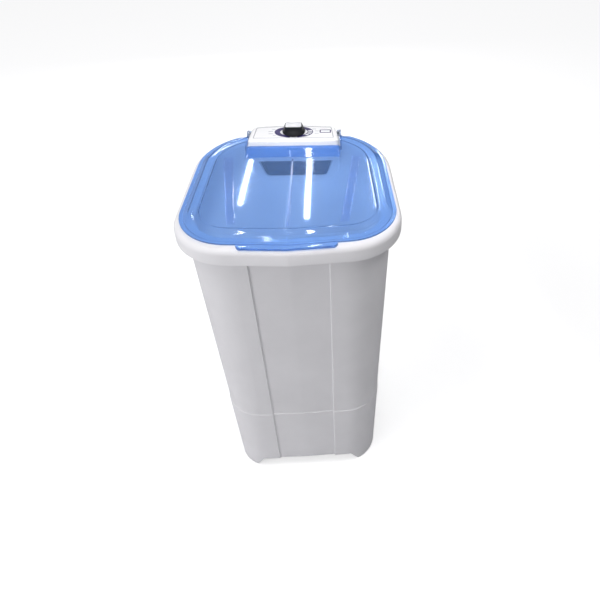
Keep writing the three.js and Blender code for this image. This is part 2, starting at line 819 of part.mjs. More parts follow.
const makeFilterMesh = () => prism(slotOutline(slideGap + filterWall + fitGap), 'XZ',
  filterMeshY, filterMeshY + filterMeshThickness, noseSteps);

// Console housing, open underneath, its overlay and the printed ring
function consoleCorners() {
  return [
    { x: -consoleHalfFront, y: consoleFrontY, radius: consoleFrontRound, steps: roundSteps },
    { x: consoleHalfFront, y: consoleFrontY, radius: consoleFrontRound, steps: roundSteps },
    { x: consoleHalfRear, y: consoleRearY, radius: consoleRearRound, steps: roundSteps },
    { x: 0, y: consoleTailY, radius: consoleTailRound, steps: tailSteps },
    { x: -consoleHalfRear, y: consoleRearY, radius: consoleRearRound, steps: roundSteps },
  ];
}
const consoleRing = (inset, z) => raise(roundedOutline(consoleCorners(), inset), z);
function makeConsole() {
  const outer = skin([
    consoleRing(0, consoleBase), consoleRing(0, consoleTop - consoleEdge),
    consoleRing(consoleEdge / 3, consoleTop - consoleEdge / 3), consoleRing(consoleEdge, consoleTop),
  ]);
  const inner = skin([
    consoleRing(consoleWall, consoleBase - cutOverrun), consoleRing(consoleWall, consoleTop - consoleEdge),
    consoleRing(consoleEdge, consoleTop - consoleWall),
  ]);
  return cutAll(outer, [
    inner,
    rod(shaftHoleRadius, consoleBase, consoleTop + cutOverrun, smallSides, 0, knobY),
    crossRod(pinRadius + fitGap, -consoleHalfFront, consoleHalfFront, hingeY, hingeZ),
  ]);
}
function makeFascia() {
  return skin([consoleRing(fasciaInset, fasciaBase), consoleRing(fasciaInset, fasciaTop)])
    .subtract(rod(shaftHoleRadius, fasciaBase - cutOverrun, fasciaTop + cutOverrun, smallSides, 0, knobY));
}
function makeDialRing() {
  const ring = new THREE.Shape().absellipse(0, knobY, ringHalfX, ringHalfY, 0, 2 * Math.PI);
  ring.holes.push(new THREE.Path().absellipse(0, knobY, ringInnerX, ringInnerY, 0, 2 * Math.PI));
  return prism(ring, 'XY', ringBase, ringTop, smallSides);
}

// Timer: a box with a neck that carries the shaft up through the console
function makeTimer() {
  const top = consoleTop - consoleWall - fitGap;
  const body = block([-timerHalf, timerFrontY, top - timerHeight], [timerHalf, timerBackY, top]);
  const neck = rod(shaftHoleRadius - fitGap, top - fitGap, fasciaTop, smallSides, 0, knobY);
  const boss = rod(timerBossRadius, top - timerHeight - pointerLength, top - timerHeight + fitGap,
    smallSides, 0, knobY);
  const bore = rod(boreAround(shaftRadius, boltSides), top - timerHeight / 2 - fitGap,
    fasciaTop + cutOverrun, boltSides, 0, knobY);
  return join([body, neck, boss]).subtract(bore);
}
const makeTimerShaft = () => rod(shaftRadius, consoleTop - consoleWall - timerHeight / 2,
  knobTop - knobRoof - fitGap, boltSides, 0, knobY);

// Knob: a round skirt that narrows to a bar, with a plate let into its top
function barOutline(halfX, halfY, round) {
  return roundedOutline([
    { x: -halfX, y: knobY - halfY, radius: round, steps: roundSteps },
    { x: halfX, y: knobY - halfY, radius: round, steps: roundSteps },
    { x: halfX, y: knobY + halfY, radius: round, steps: roundSteps },
    { x: -halfX, y: knobY + halfY, radius: round, steps: roundSteps },
  ]);
}
function makeKnob() {
  const bar = barOutline(knobBarHalfX, knobBarHalfY, knobBarRound);
  const step = (2 * Math.PI) / bar.length;
  const start = at(0, -knobRadius).rotateAround(at(0, 0), -(roundSteps + 1) * step + step / 2);
  const base = bar.map((_, i) => start.clone().rotateAround(at(0, 0), i * step).add(at(0, knobY)));
  const body = skin([
    raise(base, knobBase), raise(base, knobBase + knobSkirt), raise(bar, knobTop - pointerDepth),
    raise(barOutline(knobBarHalfX - pointerDepth, knobBarHalfY - pointerDepth, knobBarRound), knobTop),
  ]);
  const pocket = prism(barOutline(knobBarHalfX - insertInset, knobBarHalfY - insertInset, knobBarRound),
    'XY', knobTop - insertThickness - fitGap, knobTop + cutOverrun);
  const bore = rod(shaftRadius + fitGap, knobBase - cutOverrun, knobTop - knobRoof, boltSides, 0, knobY);
  return cutAll(body, [pocket, bore]);
}
function makeKnobInsert() {
  const inset = insertInset + fitGap;
  const plate = prism(barOutline(knobBarHalfX - inset, knobBarHalfY - inset, knobBarRound - fitGap),
    'XY', knobTop - insertThickness, knobTop + insertDepth);
  const rear = knobY + knobBarHalfY - inset;
  return plate.subtract(block([-pointerHalf, rear - pointerLength, knobTop + insertDepth - pointerDepth],
    [pointerHalf, rear + cutOverrun, knobTop + insertDepth + cutOverrun]));
}

// Lid: flange, sloped wall and crowned top, with a ramp that rises to the console
const lidPlan = {
  ...rimPlan,
  halfFront: rimPlan.halfFront - lidInset, halfRear: rimPlan.halfRear - lidInset,
  front: rimPlan.front - lidInsetFront, back: rimPlan.back - lidInset,
  frontCorner: rimPlan.frontCorner - lidInset, rearCorner: rimPlan.rearCorner - lidInset,
};
function lidTopRing(inset, drop) {
  return planOutline(lidPlan, inset).map((p) => {
    const fall = lidCrownFall * ((p.x / lidPlan.halfFront) ** 2 + (p.y / lidPlan.front) ** 2);
    return new THREE.Vector3(p.x, p.y, lidCrown - fall - drop);
  });
}
function makeLid() {
  const flangeTopHeight = lidBase + lidWall;
  const foot = lidFlange;
  const brow = lidFlange + lidWallRun;
  const flat = (inset, z) => raise(planOutline(lidPlan, inset), z);
  const panelEdge = brow + lidBand;
  const crownInsets = [2.5 * lidBand, 5 * lidBand];
  const crown = (extra, drop) => [
    lidTopRing(panelEdge + lidPanelRise + extra, drop),
    ...crownInsets.map((inset) => lidTopRing(brow + inset + extra, drop)),
  ];
  const outer = skin([
    flat(0, lidBase), flat(0, flangeTopHeight - lidWall / 3), flat(lidWall / 3, flangeTopHeight),
    flat(foot, flangeTopHeight), flat(foot + lidWall / 2, flangeTopHeight + lidWall / 3),
    flat(brow - lidWall / 2, lidShoulder - lidWall / 3), flat(brow, lidShoulder),
    lidTopRing(panelEdge, lidPanelRise), ...crown(0, 0),
  ]);
  const inner = skin([
    flat(foot + lidWall, lidBase - cutOverrun), flat(foot + lidWall, lidBase + fitGap),
    flat(brow + lidWall / 2, lidShoulder - lidWall),
    ...crown(lidWall / 2, lidWall + lidPanelRise / 2),
  ]);
  const rampTop = lidCrown + rampRise;
  const rampFoot = lidCrown - lidPanelRise / 2;
  const rampEnd = notchFrontY + cutOverrun;
  const ramp = (drop, half) => prism([
    at(rampStartY, lidBase + lidWall), at(rampEnd, lidBase + lidWall),
    at(rampEnd, rampTop - drop), at(rampStartY, rampFoot - drop),
  ], 'YZ', -half, half);
  const notch = block([-notchHalf, notchFrontY, lidBase - cutOverrun],
    [notchHalf, rimPlan.back, rampTop + cutOverrun]);
  const rearTrim = block([-lidPlan.halfRear, hingeY, lidBase - cutOverrun],
    [lidPlan.halfRear, rimPlan.back, lidCrown + cutOverrun]);
  const body = cutAll(outer.add(ramp(0, rampHalf)), [
    inner, ramp(lidWall, rampHalf - lidWall).translate([0, 0, -fitGap]), notch, rearTrim,
  ]);
  const holes = [-1, 1].map((side) =>
    hingeRod(side, pinRadius + fitGap, earInner - cutOverrun, earOuter - lidWall));
  return cutAll(join([body, makeGrip(), makeEar(-1), makeEar(1)]), holes);
}

// Grip that follows the front of the rim beyond the lid's own edge
function makeGrip() {
  const ring = (inset, z) => raise(planOutline(rimPlan, inset), z);
  const slab = skin([
    ring(gripInset, lidBase), ring(gripInset, lidBase + gripThickness - lidWall / 2),
    ring(gripInset + lidWall / 2, lidBase + gripThickness),
  ]);
  const frontY = gripInset - rimPlan.front;
  const zone = prism([
    at(-gripHalf, frontY + gripReach), at(-gripHalf, frontY + rimRound),
    at(lidWall - gripHalf, frontY - cutOverrun), at(gripHalf - lidWall, frontY - cutOverrun),
    at(gripHalf, frontY + rimRound), at(gripHalf, frontY + gripReach),
  ], 'XY', lidBase - cutOverrun, lidBase + 2 * gripThickness);
  const hollow = skin([
    raise(planOutline(lidPlan, lidFlange + lidWall), lidBase - cutOverrun),
    raise(planOutline(lidPlan, lidFlange + lidWall), lidBase + 2 * gripThickness),
  ]);
  return slab.intersect(zone).subtract(hollow);
}

// Hinge ear beside the console, round about the hinge pin
function makeEar(side) {
  const profile = new THREE.Shape();
  const wallTop = lidCrown - lidWall;
  profile.moveTo(notchFrontY, lidBase + fitGap);
  profile.lineTo(hingeY, lidBase + fitGap);
  profile.lineTo(hingeY, hingeZ - earRadius);
  profile.absarc(hingeY, hingeZ, earRadius, -Math.PI / 2, 0.62 * Math.PI, false);
  profile.lineTo(cheekStartY, wallTop);
  profile.lineTo(notchFrontY, wallTop);
  const cheek = prism(profile, 'YZ', ...spanX(side, notchHalf, earOuter), cornerSteps);
  const boss = crossRod(earRadius - fitGap, ...spanX(side, earInner, notchHalf + fitGap), hingeY, hingeZ);
  return cheek.add(boss);
}
function spanX(side, inner, outer) {
  return side > 0 ? [inner, outer] : [-outer, -inner];
}
const hingeRod = (side, radius, inner, outer) =>
  crossRod(radius, ...spanX(side, inner, outer), hingeY, hingeZ);
const makeHingePin = (side) => hingeRod(side, pinRadius, pinInnerX, earOuter - lidWall - fitGap);

// Impeller: a crowned disc with swept vanes
const impellerFoot = recessFloor + impellerGap;
const impellerTop = impellerFoot + impellerCrown;
function discHeight(radius) {
  const share = Math.min(radius / impellerRadius, 1);
  return mix(impellerTop, impellerFoot + impellerEdge, share ** 0.8);
}
function makeImpeller() {
  const rimShares = [0.92, 0.75, 0.5, 0.3];
  const upper = rimShares.map((share) => [share * impellerRadius, discHeight(share * impellerRadius)]);
  const bore = impellerShaftRadius + fitGap;
  const disc = turned([
    [bore, impellerFoot], [impellerHubRadius, impellerFoot],
    [impellerHubRadius, impellerFoot + impellerGap], [impellerRadius - impellerEdge, impellerFoot + fitGap],
    [impellerRadius, impellerFoot + impellerEdge / 2], [impellerRadius - fitGap, impellerFoot + impellerEdge],
    ...upper, [impellerHubRadius, impellerTop - impellerGap / 2], [bore, impellerTop - impellerGap / 2],
  ], fineSides);
  return disc.add(aroundAxis(makeVane(), vaneCount));
}
function makeVane() {
  const shares = [0, 0.25, 0.5, 0.75, 1];
  return skin(shares.map((share) => {
    const radius = mix(vaneInnerRadius, vaneOuterRadius, share);
    const angle = vaneSweep * share ** 2;
    const swell = Math.sin(Math.PI * mix(0.12, 0.88, share));
    const foot = discHeight(radius) - impellerEdge / 2;
    const top = discHeight(radius) + vaneHeight * swell;
    return [[-vaneFootHalf, foot], [vaneFootHalf, foot], [vaneTopHalf, top], [-vaneTopHalf, top]]
      .map(([across, z]) => new THREE.Vector3(radius, across * mix(1, swell, 0.5), z)
        .applyAxisAngle(axisZ, angle));
  }));
}
const boltBase = impellerTop - impellerGap / 2 + fitGap;
const makeImpellerBolt = () => rod(capBoltRadius, boltBase, boltBase + capBoltHeight, boltSides);
function makeImpellerCap() {
  const base = boltBase;
  const cavity = base + capBoltHeight + fitGap;
  return turned([
    [capBoltRadius + fitGap, base], [capRadius, base], [capRadius - leastRadius, base + capHeight / 2],
    [capRadius / 2, base + capHeight], [0, base + capHeight], [0, cavity], [capBoltRadius + fitGap, cavity],
  ], roundSides);
}

// Bolts round the bearing housing, clear of the motor and half a step from the gussets
const housingBoltTurn = THREE.MathUtils.radToDeg(Math.atan2(motorY, motorX));
const gussetTurn = housingBoltTurn + 180 / gussetCount;
const housingBoltHoles = (from, to) => aroundAxis(
  rod(boltRadius + fitGap, from, to, boltSides, housingBoltCircle), housingBoltCount, 0, 0, housingBoltTurn);

// Shaft, bearing housing, bushes and seal
const shaftTop = impellerTop - impellerGap / 2;
const makeImpellerShaft = () => turned([
  [0, bigHubFoot - nutHeight - 2 * fitGap], [threadRadius, bigHubFoot - nutHeight - 2 * fitGap],
  [threadRadius, bigHubFoot + pulleyGap], [impellerShaftRadius, bigHubFoot + pulleyGap],
  [impellerShaftRadius, shaftTop], [0, shaftTop],
], smallSides);
function makeBearingHousing() {
  const seat = bushRadius + fitGap;
  const core = impellerShaftRadius + 2 * slideGap;
  const body = turned([
    [core, barrelFoot + bushLength + fitGap], [seat, barrelFoot + bushLength + fitGap], [seat, barrelFoot],
    [barrelRadius, barrelFoot], [barrelRadius, flangeTop - flangeThickness],
    [flangeRadius, flangeTop - flangeThickness], [flangeRadius, flangeTop],
    [seat, flangeTop], [seat, flangeTop - bushLength - fitGap], [core, flangeTop - bushLength - fitGap],
  ]);
  const gusset = prism([
    at(barrelRadius - gussetThickness, flangeTop - flangeThickness / 2),
    at(barrelRadius - gussetThickness, flangeTop - barrelLength / 2),
    at(barrelRadius + fitGap, flangeTop - barrelLength / 2),
    at(barrelRadius + gussetReach, flangeTop - flangeThickness / 2),
  ], 'XZ', -gussetThickness / 2, gussetThickness / 2);
  return body.add(aroundAxis(gusset, gussetCount, 0, 0, gussetTurn))
    .subtract(housingBoltHoles(flangeTop - flangeThickness - cutOverrun, flangeTop + cutOverrun));
}
const shaftBore = boreAround(impellerShaftRadius, smallSides);
const makeBush = (foot) =>
  tubePiece(shaftBore, bushRadius, foot, foot + bushLength, smallSides);
const makeSeal = () => turned([
  [shaftBore, hubUnderside + fitGap], [sealRadius, hubUnderside + fitGap],
  [sealRadius, hubUnderside + sealHeight], [sealRadius / 2, recessFloor],
  [shaftBore, recessFloor],
], smallSides);
const makeBracketBolts = () => copiesRound(turned([
  [0, bracketUnderside - fitGap - boltHeadHeight],
  [boltHeadRadius, bracketUnderside - fitGap - boltHeadHeight],
  [boltHeadRadius, bracketUnderside - fitGap], [boltRadius, bracketUnderside - fitGap],
  [boltRadius, hubUnderside + boltReach], [0, hubUnderside + boltReach],
], boltSides, housingBoltCircle), housingBoltCount, 0, 0, housingBoltTurn);

// Outline round two circles, one at the origin and one at the motor
const motorReach = Math.hypot(motorX, motorY);
const motorAngle = Math.atan2(motorY, motorX);
function twoCircleShape(nearRadius, farRadius) {
  const lean = Math.acos((nearRadius - farRadius) / motorReach);
  const shape = new THREE.Shape();
  shape.absarc(0, 0, nearRadius, motorAngle + lean, motorAngle - lean + 2 * Math.PI, false);
  shape.absarc(motorX, motorY, farRadius, motorAngle - lean, motorAngle + lean, false);
  return shape;
}

// Pulleys and belt
function pulleyProfile(radius, bore, hubRadius, hubFoot, hubTop) {
  const lip = radius + beltThickness + pulleyLip / 2;
  const inner = radius - pulleyLip;
  const foot = pulleyFoot;
  const top = foot + pulleyHeight;
  const middle = (foot + top) / 2;
  const rimProfile = [
    [lip, foot], [lip, foot + pulleyFlange - fitGap], [radius - slideGap, foot + pulleyFlange],
    [radius - slideGap, top - pulleyFlange], [lip, top - pulleyFlange + fitGap], [lip, top],
  ];
  if (inner <= hubRadius) {
    return [[bore, foot], ...rimProfile, [hubRadius, top], [hubRadius, hubTop], [bore, hubTop]];
  }
  return [
    [bore, hubFoot], [hubRadius, hubFoot], [hubRadius, middle - pulleyWeb / 2],
    [inner, middle - pulleyWeb / 2], [inner, foot], ...rimProfile, [inner, top],
    [inner, middle + pulleyWeb / 2], [hubRadius, middle + pulleyWeb / 2], [hubRadius, hubTop], [bore, hubTop],
  ];
}
function makeDrivePulley() {
  const wheel = turned(pulleyProfile(bigPulleyRadius, impellerShaftRadius + fitGap, pulleyHubRadius,
    bigHubFoot + pulleyGap + fitGap, bigHubTop), roundSides);
  const collar = tubePiece(threadRadius + fitGap, pulleyHubRadius, bigHubFoot,
    bigHubFoot + pulleyGap - fitGap);
  const hub = collar.add(tubePiece(impellerShaftRadius + fitGap, pulleyHubRadius,
    bigHubFoot + pulleyGap - fitGap, bigHubTop));
  const circle = (pulleyHubRadius + bigPulleyRadius - pulleyLip) / 2;
  const holes = aroundAxis(rod(pulleyHoleRadius, pulleyFoot - cutOverrun, pulleyTop + cutOverrun,
    boltSides, circle), pulleyHoleCount);
  return wheel.add(hub).subtract(holes);
}
const motorPulleyTop = pulleyFoot + pulleyHeight + pulleyFlange;
const makeMotorPulley = () => turned(pulleyProfile(smallPulleyRadius, motorShaftRadius + fitGap,
  smallPulleyRadius - pulleyLip, pulleyFoot, motorPulleyTop), roundSides, motorX, motorY);
function makeBelt() {
  const outline = twoCircleShape(bigPulleyRadius + beltThickness, smallPulleyRadius + beltThickness);
  outline.holes.push(new THREE.Path(
    twoCircleShape(bigPulleyRadius, smallPulleyRadius).getPoints(beltSteps)));
  return prism(outline, 'XY', beltFoot, beltFoot + beltWidth, beltSteps);
}
function makePulleyNut() {
  const top = bigHubFoot - fitGap;
  const bore = rod(threadRadius + fitGap, top - nutHeight - cutOverrun, top + cutOverrun, smallSides);
  return rod(nutRadius, top - nutHeight, top, boltSides).subtract(bore);
}

// Bracket under the bearing flange that carries the motor and the capacitor
function makeBracket() {
  const plate = prism(twoCircleShape(flangeRadius + bracketMargin, motorRadius + bracketMargin),
    'XY', bracketUnderside, bracketTop, roundSteps);
  const through = [bracketUnderside - cutOverrun, bracketTop + cutOverrun];
  const clear = flangeRadius - 2 * boltHeadRadius - bracketMargin + boltRadius;
  return cutAll(plate, [
    rod(clear, ...through, roundSides),
    housingBoltHoles(...through), motorBoltHoles(...through),
    rod(statorBore / 2, ...through, smallSides, motorX, motorY),
  ]);
}

// Motor: stator between two end bells on four long bolts, with the rotor and fan inside
const motorBoltHoles = (from, to) => aroundAxis(
  rod(motorBoltRadius + fitGap, from, to, boltSides, motorBoltCircle), motorBoltCount, motorX, motorY);
function makeStator() {
  return tubePiece(statorBore, motorRadius, statorFoot, statorTop, roundSides, motorX, motorY)
    .subtract(motorBoltHoles(statorFoot - cutOverrun, statorTop + cutOverrun));
}
function makeEndBell(seat, outside) {
  const up = Math.sign(outside - seat);
  const inside = outside - up * endBellWall;
  const bore = motorShaftRadius + fitGap;
  const bell = turned([
    [bore, outside], [motorRadius - endBellWall, outside], [motorRadius, outside - up * endBellWall],
    [motorRadius, seat], [statorBore, seat], [statorBore, inside - up * fitGap],
    [2 * bore, inside - up * fitGap], [2 * bore, inside - up * endBellWall],
    [bore, inside - up * endBellWall],
  ], roundSides, motorX, motorY);
  const low = Math.min(seat, outside) - cutOverrun;
  const high = Math.max(seat, outside) + cutOverrun;
  const middle = (statorBore + 2 * bore) / 2;
  const vents = aroundAxis(rod(endBellWall, low, high, boltSides, middle), bellVentCount, motorX, motorY);
  return cutAll(bell, [motorBoltHoles(low, high), vents]);
}
function makeMotorBolts() {
  const headSeat = motorFoot - fitGap;
  const nutSeat = bracketTop + fitGap;
  const shank = rod(motorBoltRadius, headSeat - boltHeadHeight, nutSeat + boltHeadHeight, boltSides);
  const head = rod(2 * motorBoltRadius, headSeat - boltHeadHeight, headSeat, boltSides);
  const nut = rod(2 * motorBoltRadius, nutSeat, nutSeat + boltHeadHeight, boltSides);
  return copiesRound(join([shank, head, nut]).translate([motorBoltCircle, 0, 0]), motorBoltCount,
    motorX, motorY);
}
function makeRotor() {
  const shaft = rod(motorShaftRadius, pulleyFoot, motorTop + bracketThickness / 2, smallSides,
    motorX, motorY);
  const core = rod(statorBore - slideGap, statorFoot + endBellWall, statorTop - endBellWall, roundSides,
    motorX, motorY);
  return shaft.add(core);
}
function makeFan() {
  const foot = motorPulleyTop + fitGap;
  const hub = tubePiece(motorShaftRadius + fitGap, fanHub, foot, foot + fanHeight, smallSides);
  const disc = tubePiece(motorShaftRadius + fitGap, fanRadius, foot, foot + fanBladeThickness, roundSides);
  const blade = block([fanHub - fitGap, -fanBladeThickness / 2, foot],
    [fanRadius, fanBladeThickness / 2, foot + fanHeight]);
  return join([hub, disc, aroundAxis(blade, fanBladeCount)]).translate([motorX, motorY, 0]);
}

// Capacitor hanging under the bracket in a strap
const capacitorTop = bracketUnderside - fitGap;
const makeCapacitor = () => turned([
  [0, capacitorTop - capacitorHeight], [capacitorRadius - leastRadius, capacitorTop - capacitorHeight],
  [capacitorRadius, capacitorTop - capacitorHeight + leastRadius], [capacitorRadius, capacitorTop],
  [0, capacitorTop],
], roundSides, capacitorX, capacitorY);
function makeCapacitorClamp() {
  const bore = capacitorRadius + fitGap;
  const foot = capacitorTop - clampHeight;
  const strap = tubePiece(bore, bore + clampWall, foot, capacitorTop, roundSides, capacitorX, capacitorY);
  const tabFoot = capacitorTop - clampWall;
  const tab = block([capacitorX - 2 * boltHeadRadius - bore, capacitorY - boltHeadRadius, tabFoot],
    [capacitorX - bore - clampWall / 2, capacitorY + boltHeadRadius, capacitorTop]);
  return strap.add(tab);
}

// Drain: grille in the floor, elbow under it, hose inside and outlet through the rear wall
function drainPlace() {
  return { x: -drainReach * Math.SQRT1_2, y: drainReach * Math.SQRT1_2 };
}
function makeDrainGrille() {
  const { x, y } = drainPlace();
  const base = basinFloorHeight + fitGap;
  const plate = turned([
    [0, base], [grilleRadius, base], [grilleRadius - leastRadius, base + grilleThickness],
    [0, base + grilleThickness],
  ], smallSides);
  const hole = rod(grilleHoleRadius, base - cutOverrun, base + grilleThickness + cutOverrun, boltSides);
  const holes = aroundAxis(hole.translate([grilleHoleCircle, 0, 0]), grilleHoleCount);
  return cutAll(plate, [hole, holes]).translate([x, y, 0]);
}
const elbowSeat = basinFloorHeight - tubWall - fitGap;
function makeDrainElbow() {
  const { x, y } = drainPlace();
  const seat = elbowSeat;
  return turned([
    [pipeRadius - pipeWall, seat - elbowLength], [pipeRadius, seat - elbowLength],
    [pipeRadius, seat - elbowFlangeThickness], [elbowFlangeRadius, seat - elbowFlangeThickness],
    [elbowFlangeRadius, seat], [pipeRadius - pipeWall, seat],
  ], smallSides, x, y);
}
const hoseSides = 8;
const hoseSteps = 13;
const hoseBore = boreAround(pipeRadius, hoseSides);
const hoseRadius = hoseBore + hoseWall;
const hoseStraight = 12;
const hoseBendShares = [[0.02, 0.02, 0.3], [0.4, 0.12, 0.68], [0.9, 0.3, 0.93]];
function hoseRoute() {
  const { x, y } = drainPlace();
  const start = new THREE.Vector3(x, y, elbowSeat - elbowFlangeThickness - fitGap);
  const tilt = THREE.MathUtils.degToRad(wallTilt);
  const inwards = new THREE.Vector3(0, -Math.cos(tilt), Math.sin(tilt));
  const wall = new THREE.Vector3(outletX, rearWallY(outletX, outletHeight), outletHeight);
  const along = (length) => wall.clone().addScaledVector(inwards, length);
  const end = along(cabinetWall + fitGap + outletFlangeThickness);
  const neck = along(cabinetWall + outletInside + hoseStraight);
  const below = (length) => start.clone().setZ(start.z - length);
  return [
    start, below(elbowLength / 2), below(elbowLength), below(elbowLength + hoseStraight),
    ...hoseBendShares.map(([acrossShare, backShare, dropShare]) => new THREE.Vector3(
      mix(x, neck.x, acrossShare), mix(y, neck.y, backShare), mix(start.z, neck.z, dropShare))),
    neck, along(cabinetWall + outletInside), along(cabinetWall + outletInside / 2), end,
  ];
}
const makeDrainHose = () => swept(ringSection(hoseRadius, hoseBore, hoseSides), hoseRoute(), hoseSteps);
function makeDrainOutlet() {
  const gap = 2 * fitGap;
  return onRearWall(turned([
    [pipeRadius - pipeWall, -cabinetWall - outletInside], [pipeRadius - gap, -cabinetWall - outletInside],
    [pipeRadius - gap, gap], [outletFlangeRadius, gap],
    [outletFlangeRadius, gap + outletFlangeThickness], [pipeRadius, gap + outletFlangeThickness],
    [pipeRadius, outletOutside - pipeWall], [pipeRadius - leastRadius, outletOutside],
    [pipeRadius - pipeWall, outletOutside],
  ], smallSides), outletX, outletHeight);
}
function makeHoseClamps() {
  const { x, y } = drainPlace();
  const foot = elbowSeat - elbowLength + clipBandWall;
  const bore = boreAround(hoseRadius, smallSides);
  const upper = tubePiece(bore, bore + clipBandWall, foot, foot + clipBandWidth, smallSides, x, y);
  const lower = onRearWall(tubePiece(bore, bore + clipBandWall,
    -cabinetWall - 2 * clipBandWidth, -cabinetWall - clipBandWidth, smallSides), outletX, outletHeight);
  return [upper, lower];
}

// Cable gland in the rear wall
function makeGland() {
  const seat = 2 * fitGap;
  return onRearWall(turned([
    [glandBore, -glandInside], [glandRadius, -glandInside], [glandRadius, seat],
    [glandFlangeRadius, seat], [glandFlangeRadius - leastRadius, seat + glandFlangeThickness],
    [glandBore, seat + glandFlangeThickness],
  ], smallSides), glandX, glandHeight);
}

// Lead from the timer down behind the basin to the motor, with its clips
function leadRoute() {
  const timerFoot = consoleTop - consoleWall - fitGap - timerHeight;
  const backY = pocketBackY + pocketWall + leadRadius + 2 * slideGap;
  const motorSideY = motorY + motorRadius / 2;
  return [
    [leadX, timerBackY - leadRadius - 2 * slideGap, timerFoot - fitGap],
    [leadX, timerBackY - leadRadius - 2 * slideGap, timerFoot - 2 * leadRadius],
    [leadX, backY, slotTopHeight], [leadX, backY, slotFootHeight - 2 * pocketWall],
    [leadX, leadY(leadClipZ), leadClipZ],
    [leadX, leadY(basinRoundTop), basinRoundTop],
    [leadX + 2 * leadRadius, leadY(basinRoundTop) - leadRadius, basinFloorHeight - 2 * basinFloorRound],
    [motorX - motorRadius / 2, motorSideY + motorRadius, (statorTop + statorFoot) / 2 + leadRadius],
    [motorX, motorSideY + motorRadius - leadRadius, (statorTop + statorFoot) / 2],
    [motorX, motorY + motorRadius + fitGap, (statorTop + statorFoot) / 2],
  ].map((place) => new THREE.Vector3(...place));
}
const leadY = (z) => basinRearY(z) + leadClipWall + leadRadius + 2 * slideGap;
const makeMotorLead = () => swept(ringSection(leadRadius, 0, leadSides), leadRoute(), leadSteps);
function makeLeadClip() {
  const z = leadClipZ;
  const y = leadY(z);
  const reach = leadRadius + slideGap + leadClipWall;
  const body = block([leadX - reach, basinRearY(z + leadClipHalf) + fitGap, z - leadClipHalf],
    [leadX + reach, y + reach, z + leadClipHalf]);
  const bore = rod(boreAround(leadRadius + slideGap, smallSides), z - leadClipHalf - cutOverrun,
    z + leadClipHalf + cutOverrun, smallSides, leadX, y);
  return body.subtract(bore);
}

addPiece('cabinet', makeCabinet(), whitePlastic);
addPiece('tub', makeTub(), rimPlastic);
addPiece('console_housing', makeConsole(), consolePlastic);
addPiece('console_fascia', makeFascia(), consolePlastic);
addPiece('dial_ring', makeDialRing(), indigoPrint);
addPiece('timer_unit', makeTimer(), greyPlastic);
addPiece('rear_cover', makeRearCover(), whitePlastic);
coverScrewPlaces().forEach(({ name, x, z }) =>
  addPiece(`cover_screw_${name}`, makeCoverScrew(x, z), zincFinish));
padPlaces().forEach(({ name, x, y }) => addPiece(`foot_pad_${name}`, makePad(x, y), blackRubber));
addPiece('drain_grille', makeDrainGrille(), rimPlastic);
addPiece('drain_elbow', makeDrainElbow(), greyPlastic);
addPiece('drain_hose_inner', makeDrainHose(), blackRubber);
addSet('drain_hose_clamp', makeHoseClamps(), zincFinish);
addPiece('drain_outlet', makeDrainOutlet(), greyPlastic);
addPiece('cable_gland', makeGland(), darkPlastic);
addPiece('motor_lead', makeMotorLead(), blackRubber);
addPiece('motor_lead_clip', makeLeadClip(), greyPlastic);
addPiece('bearing_housing', makeBearingHousing(), castAluminium);
addPiece('shaft_bush_upper', makeBush(flangeTop - bushLength), bronzeFinish);
addPiece('shaft_bush_lower', makeBush(barrelFoot), bronzeFinish);
addPiece('shaft_seal', makeSeal(), blackRubber);
addPiece('motor_bracket', makeBracket(), zincFinish);
addSet('bracket_bolt', makeBracketBolts(), zincFinish);
addPiece('motor_stator', makeStator(), steelFinish);
addPiece('motor_end_bell_upper', makeEndBell(statorTop + fitGap, motorTop), castAluminium);
addPiece('motor_end_bell_lower', makeEndBell(statorFoot - fitGap, motorFoot), castAluminium);
addSet('motor_bolt', makeMotorBolts(), zincFinish);
addPiece('run_capacitor', makeCapacitor(), greyPlastic);
addPiece('capacitor_clamp', makeCapacitorClamp(), zincFinish);
addPiece('drive_belt', makeBelt(), blackRubber);
addPiece('lid', makeLid(), lidPlastic);
addPiece('hinge_pin_left', makeHingePin(-1), steelFinish);
addPiece('hinge_pin_right', makeHingePin(1), steelFinish);
addPiece('timer_knob', makeKnob(), knobPlastic);
addPiece('knob_insert', makeKnobInsert(), silverFinish);
addPiece('timer_shaft', makeTimerShaft(), steelFinish);
addPiece('lint_filter_frame', makeFilterFrame(), filterPlastic);
addPiece('lint_filter_mesh', makeFilterMesh(), filterPlastic);
addPiece('impeller', makeImpeller(), rimPlastic);
addPiece('impeller_cap', makeImpellerCap(), filterPlastic);
addPiece('impeller_bolt', makeImpellerBolt(), steelFinish);
addPiece('impeller_shaft', makeImpellerShaft(), steelFinish);
addPiece('drive_pulley', makeDrivePulley(), castAluminium);
addPiece('pulley_nut', makePulleyNut(), zincFinish);
addPiece('motor_rotor', makeRotor(), steelFinish);
addPiece('motor_pulley', makeMotorPulley(), castAluminium);
addPiece('motor_fan', makeFan(), darkPlastic);

export default machine;
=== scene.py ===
"""Studio scene of a semi-automatic washing machine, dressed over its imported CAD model.

Sizes are in millimetres in the frame that all the models share, and become metres when a mesh is
made.
"""

import json
import logging
import math
from collections.abc import Callable
from dataclasses import dataclass, replace
from enum import Enum

import bmesh
import bpy
import numpy as np
from mathutils import Matrix

